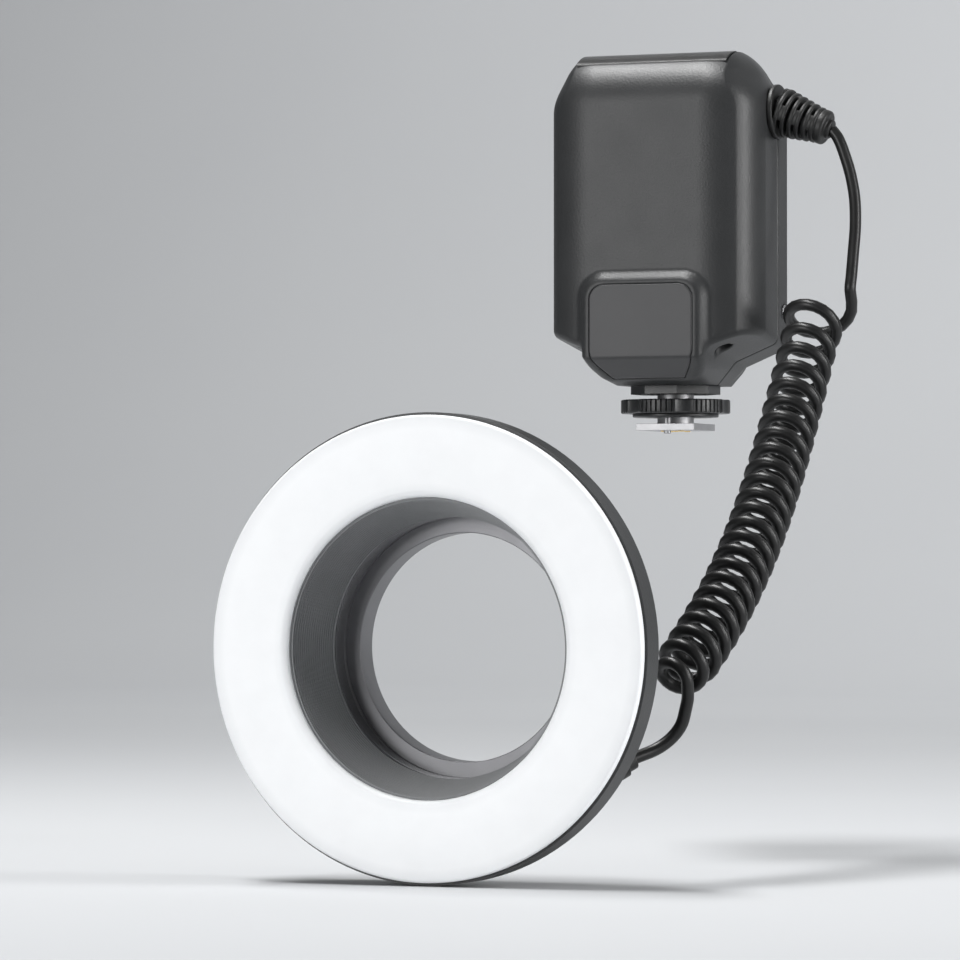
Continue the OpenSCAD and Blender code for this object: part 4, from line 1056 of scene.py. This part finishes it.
def make_screws():
    under_unit = [(side * SHELL_SCREW[0], SHELL_SCREW[1], 26.4) for side in (1, -1)]
    screws("shell_screw_pair", "shell_screws", "black_screw", under_unit, upwards,
           head_r=2.3, head=1.4, shank_r=1.25, shank=8.4)
    in_collar = [(x, y, 10.9) for x in (-7.4, 7.4) for y in (-7.4, 7.4)]
    screws("shoe_screw_set", "shoe_screws", "steel", in_collar, upwards,
           head_r=1.7, head=1.2, shank_r=0.9, shank=9.1)
    on_rear = []
    for angle in (30, 150, 210, 330):
        turn = math.radians(angle)
        on_rear.append((REAR_SCREW_R * math.cos(turn), RING_Y + 27, RING_Z - REAR_SCREW_R * math.sin(turn)))
    screws("ring_screw_set", "ring_screws", "black_screw", on_rear, forwards,
           head_r=1.7, head=1.0, shank_r=0.9, shank=6.5)


make_screws()


# The rear panel

for key in ("mode_key", "ratio_key", "group_key", "lamp_key"):
    eased(key, 0.45, "trim_plastic", 3)
eased("test_button", 0.5, "test_red", 3)
eased("set_button", 0.6, "trim_plastic", 3)
eased("power_switch", 0.4, "trim_plastic", 3)
eased("lcd_window", 0.25, "display_glass")
eased("sync_jack", 0.2, "steel")


def make_dial():
    lip = [(DIAL_BORE_R, DIAL_BACK), (DIAL_LIP_R, DIAL_BACK), (DIAL_LIP_R, DIAL_LIP)]
    neck = [(DIAL_NECK_R, DIAL_LIP), (DIAL_NECK_R, DIAL_UNDER)]
    rim = [(DIAL_R, DIAL_UNDER), (DIAL_R, DIAL_FACE), (9.0, DIAL_FACE)]
    dish = [(8.6, DIAL_DISH), (5.8, DIAL_DISH), (5.4, DIAL_FACE), (DIAL_BORE_R, DIAL_FACE)]
    outline = soften(lip + neck + rim + dish, [0.1, 0.1, 0.1, 0, 0, 0.3, 0.55, 0.2, 0.2, 0.2, 0.2, 0.2])

    def teeth(r, h, angle):
        if r < DIAL_R - 0.9 or h < DIAL_UNDER - 0.2:
            return 0.0
        return -TOOTH_DEEP * max(0.0, math.cos(DIAL_TEETH * angle)) ** 0.7

    mesh = turned("control_dial_turned", outline, 640, on_dial, teeth)
    make_piece("control_dial_turned", mesh, "control_dial", "trim_plastic", ("control_dial",))


make_dial()


# The battery bay

eased("battery_door", 0.35, "shell_plastic")
eased("battery_latch", 0.15, "trim_plastic")
eased("battery_tray", 0.25, "tray_plastic")
eased("battery_cells", 0.6, "cell_wrap", 3)
eased("battery_contacts", 0.2, "contact_metal")
eased("door_contacts", 0.15, "contact_metal")


# The shoe foot and its lock

eased("shoe_collar", 0.3, "trim_plastic")
eased("hot_shoe_foot", 0.25, "steel")
eased("clamp_plate", 0.3, "trim_plastic")
eased("lock_pin", 0.3, "steel", 3)
eased("contact_pins", 0.3, "contact_gold", 3)


def make_wheel():
    rim = [(5.6, WHEEL_LOW), (WHEEL_R, WHEEL_LOW), (WHEEL_R, WHEEL_HIGH)]
    top = [(14.2, WHEEL_HIGH), (13.8, 9.0), (9.0, 9.0), (8.6, WHEEL_HIGH), (5.6, WHEEL_HIGH)]
    outline = soften(rim + top, [0.2, 0.5, 0.5, 0.2, 0.2, 0.2, 0.2, 0.2])

    def grips(r, h, angle):
        """Six finger hollows, and fine ribs between them."""
        if r < WHEEL_R - 1:
            return 0.0
        lean = math.radians((math.degrees(angle) + 30) % 60 - 30)
        depth = 0.0
        reach = HOLLOW_OFF * math.sin(lean)
        if abs(reach) < HOLLOW_R:
            scoop = math.sqrt(HOLLOW_R ** 2 - reach * reach)
            depth = max(depth, WHEEL_R - HOLLOW_OFF * math.cos(lean) + scoop)
        rib = math.degrees(angle) % 60 - 30
        if abs(rib) < RIB_SPAN:
            off = (rib + RIB_PITCH / 2) % RIB_PITCH - RIB_PITCH / 2
            depth = max(depth, RIB_DEEP - (off / 1.1) ** 2 * RIB_DEEP)
        return -depth

    mesh = turned("lock_wheel_turned", outline, 1440, on_foot, grips)
    make_piece("lock_wheel_turned", mesh, "lock_wheel", "trim_plastic", ("lock_wheel",))


make_wheel()


# The ring head

def make_diffuser():
    outer = SKIRT_R - SKIRT_T
    inner = MOUTH_R + SKIRT_T
    face = [(MOUTH_R, SKIRT_W), (MOUTH_R, 0), (RIM_R, 0), (RIM_R, RIM_W), (SKIRT_R, RIM_W)]
    back = [(SKIRT_R, SKIRT_W), (outer, SKIRT_W), (outer, FACE_T), (inner, FACE_T), (inner, SKIRT_W)]
    outline = soften(face + back, [0.2, MOUTH_LIP, 0.8, 0.2, 0, 0.2, 0.2, 0, 0, 0.2], 8)
    mesh = turned("opal_front", outline, 288, in_ring)
    make_piece("opal_front", mesh, "ring_head", "opal", ("diffuser",))


def grooves(first, last, r_first, r_last, count, depth):
    """The outline of a bore with that many shallow steps, each a ledge and a slope."""
    step_w = (last - first) / count
    step_r = (r_first - r_last) / count
    bore = []
    for k in range(count):
        r = r_first - step_r * k
        w = first + step_w * k
        bore += [(r, w), (r, w + 0.55 * step_w)]
        bore += [(r - depth, w + 0.6 * step_w), (r - depth, w + 0.95 * step_w)]
    return bore


def make_baffle():
    last = BAFFLE_END - BAFFLE_LIP_W
    bore = grooves(MOUTH_LIP, last, MOUTH_R - 0.3, THROAT_R, BAFFLE_STEPS, GROOVE_DEEP)
    flange = [(THROAT_R, last), (THROAT_R, BAFFLE_END), (BAFFLE_FLANGE_R, BAFFLE_END),
              (BAFFLE_FLANGE_R, BAFFLE_FLANGE_W)]
    behind = SKIRT_W + 0.3
    outside = [(37.6, BAFFLE_FLANGE_W), (42.6, behind), (MOUTH_R - 0.1, behind), (MOUTH_R - 0.1, MOUTH_LIP)]
    mesh = turned("stepped_baffle", bore + flange + outside, 288, in_ring)
    make_piece("stepped_baffle", mesh, "ring_head", "baffle_black", ("baffle_sleeve",))


def make_adapter():
    thread_w = CUP_FACE + 2
    thread = []
    for k in range(THREAD_TURNS):
        w = thread_w + 0.25 + THREAD_PITCH * k
        thread += [(THREAD_R, w), (THREAD_R, w + 0.15), (THREAD_ROOT_R, w + 0.37), (THREAD_ROOT_R, w + 0.6)]
    bore = grooves(SEAT_W + 0.3, CUP_FACE - 1.6, THROAT_R, THROAT_R, 6, 0.25)
    flange = [(THROAT_R, SEAT_W), (SEAT_R, SEAT_W), (SEAT_R, 22.4)]
    groove = [(SEAT_GROOVE_R, 22.4), (SEAT_GROOVE_R, 24.6), (SEAT_R, 24.6)]
    cup = [(SEAT_R, RING_DEPTH), (CUP_R, RING_DEPTH), (CUP_R, thread_w), (THREAD_ROOT_R, thread_w)]
    outer = soften(flange + groove + cup, [0, 0.3, 0.15, 0, 0, 0.15, 0.3, 0, 0.4, 0], 3)
    end = [(THREAD_R, thread_w + 5.85), (33.3, thread_w + 6), (31.6, thread_w + 6)]
    inner = [(THREAD_BORE_R, thread_w + 5.9), (THREAD_BORE_R, CUP_FACE + 0.2), (31.7, CUP_FACE),
             (THROAT_R - 0.25, CUP_FACE)]
    mesh = turned("adapter_turned", outer + thread + end + inner + bore[::-1], 288, in_ring)
    make_piece("adapter_turned", mesh, "adapter_ring", "adapter_metal", ("adapter_ring",))


make_diffuser()
make_baffle()
make_adapter()
eased("ring_housing", 0.4, "shell_plastic", 3, 20)
eased("latch_upper", 0.3, "trim_plastic")
eased("latch_lower", 0.3, "trim_plastic")
eased("ring_gland", 0.6, "boot_rubber", 3)


# Pieces whose CAD shape is right as it is

KEPT = {
    "af_lamp": "lamp_red", "lcd_panel": "display_panel", "main_board": "circuit_board",
    "main_capacitors": "capacitor_sleeve", "door_pin": "steel", "reflector_ring": "reflector_white",
    "flash_tubes": "tube_glass", "led_board": "circuit_board", "modelling_leds": "lamp_chip",
}
for node, slot in KEPT.items():
    kept = frame["nodes"][node]
    if not kept.material_slots:
        kept.data.materials.append(None)
    for place in kept.material_slots:
        place.material = FINISHES[slot]


# Floor, backdrop and light

def make_floor():
    finish = Finish("pale_floor", Roughness=0.9, Specular_IOR_Level=0.1)
    cloud = finish.speckle(400, 2.0)
    finish.feed("Base Color", finish.blend(cloud, (0.52, 0.53, 0.545, 1.0), (0.56, 0.57, 0.58, 1.0)))
    points = []
    faces = []
    rows = [(FLOOR_FRONT, FLOOR_Z)]
    for angle in np.linspace(0, math.pi / 2, 24):
        rows.append((FLOOR_BACK + SWEEP_R * math.sin(angle), FLOOR_Z + SWEEP_R * (1 - math.cos(angle))))
    rows.append((FLOOR_BACK + SWEEP_R, BACKDROP_TOP))
    for y, z in rows:
        points += [(-FLOOR_HALF_W, y, z), (FLOOR_HALF_W, y, z)]
    for k in range(len(rows) - 1):
        faces.append((2 * k, 2 * k + 1, 2 * k + 3, 2 * k + 2))
    mesh = smooth_mesh("pale_floor", points, faces)
    floor = bpy.data.objects.new("pale_floor", mesh)
    mesh.materials.append(finish.material)
    scene.collection.objects.link(floor)


def soft_light(name, place, aim, size, power):
    lamp = bpy.data.lights.new(name, "AREA")
    lamp.shape = "RECTANGLE"
    lamp.size, lamp.size_y = size
    lamp.energy = power
    light = bpy.data.objects.new(name, lamp)
    light.location = place
    light.rotation_euler = (Vector(aim) - Vector(place)).to_track_quat("-Z", "Y").to_euler()
    scene.collection.objects.link(light)


def light_scene():
    world = bpy.data.worlds.new("studio")
    scene.world = world
    world.use_nodes = True
    ground = world.node_tree.nodes["Background"]
    ground.inputs["Color"].default_value = (0.90, 0.95, 1.0, 1.0)
    ground.inputs["Strength"].default_value = 0.06
    aim = (0.0, -0.06, 0.02)
    soft_light("left_softbox", (-0.72, -1.7, 0.12), aim, (0.62, 1.1), 17)
    soft_light("right_strip", (1.2, 0.0, 0.12), aim, (0.2, 1.4), 16)
    soft_light("right_fill", (1.15, -0.55, 0.0), aim, (0.3, 0.7), 5.5)
    soft_light("top_box", (-0.3, -0.2, 1.15), aim, (0.9, 0.22), 20.5)
    soft_light("backdrop_light", (0.0, 1.6, 1.7), (0.0, 2.75, 0.3), (3.2, 0.6), 40)


make_floor()
light_scene()
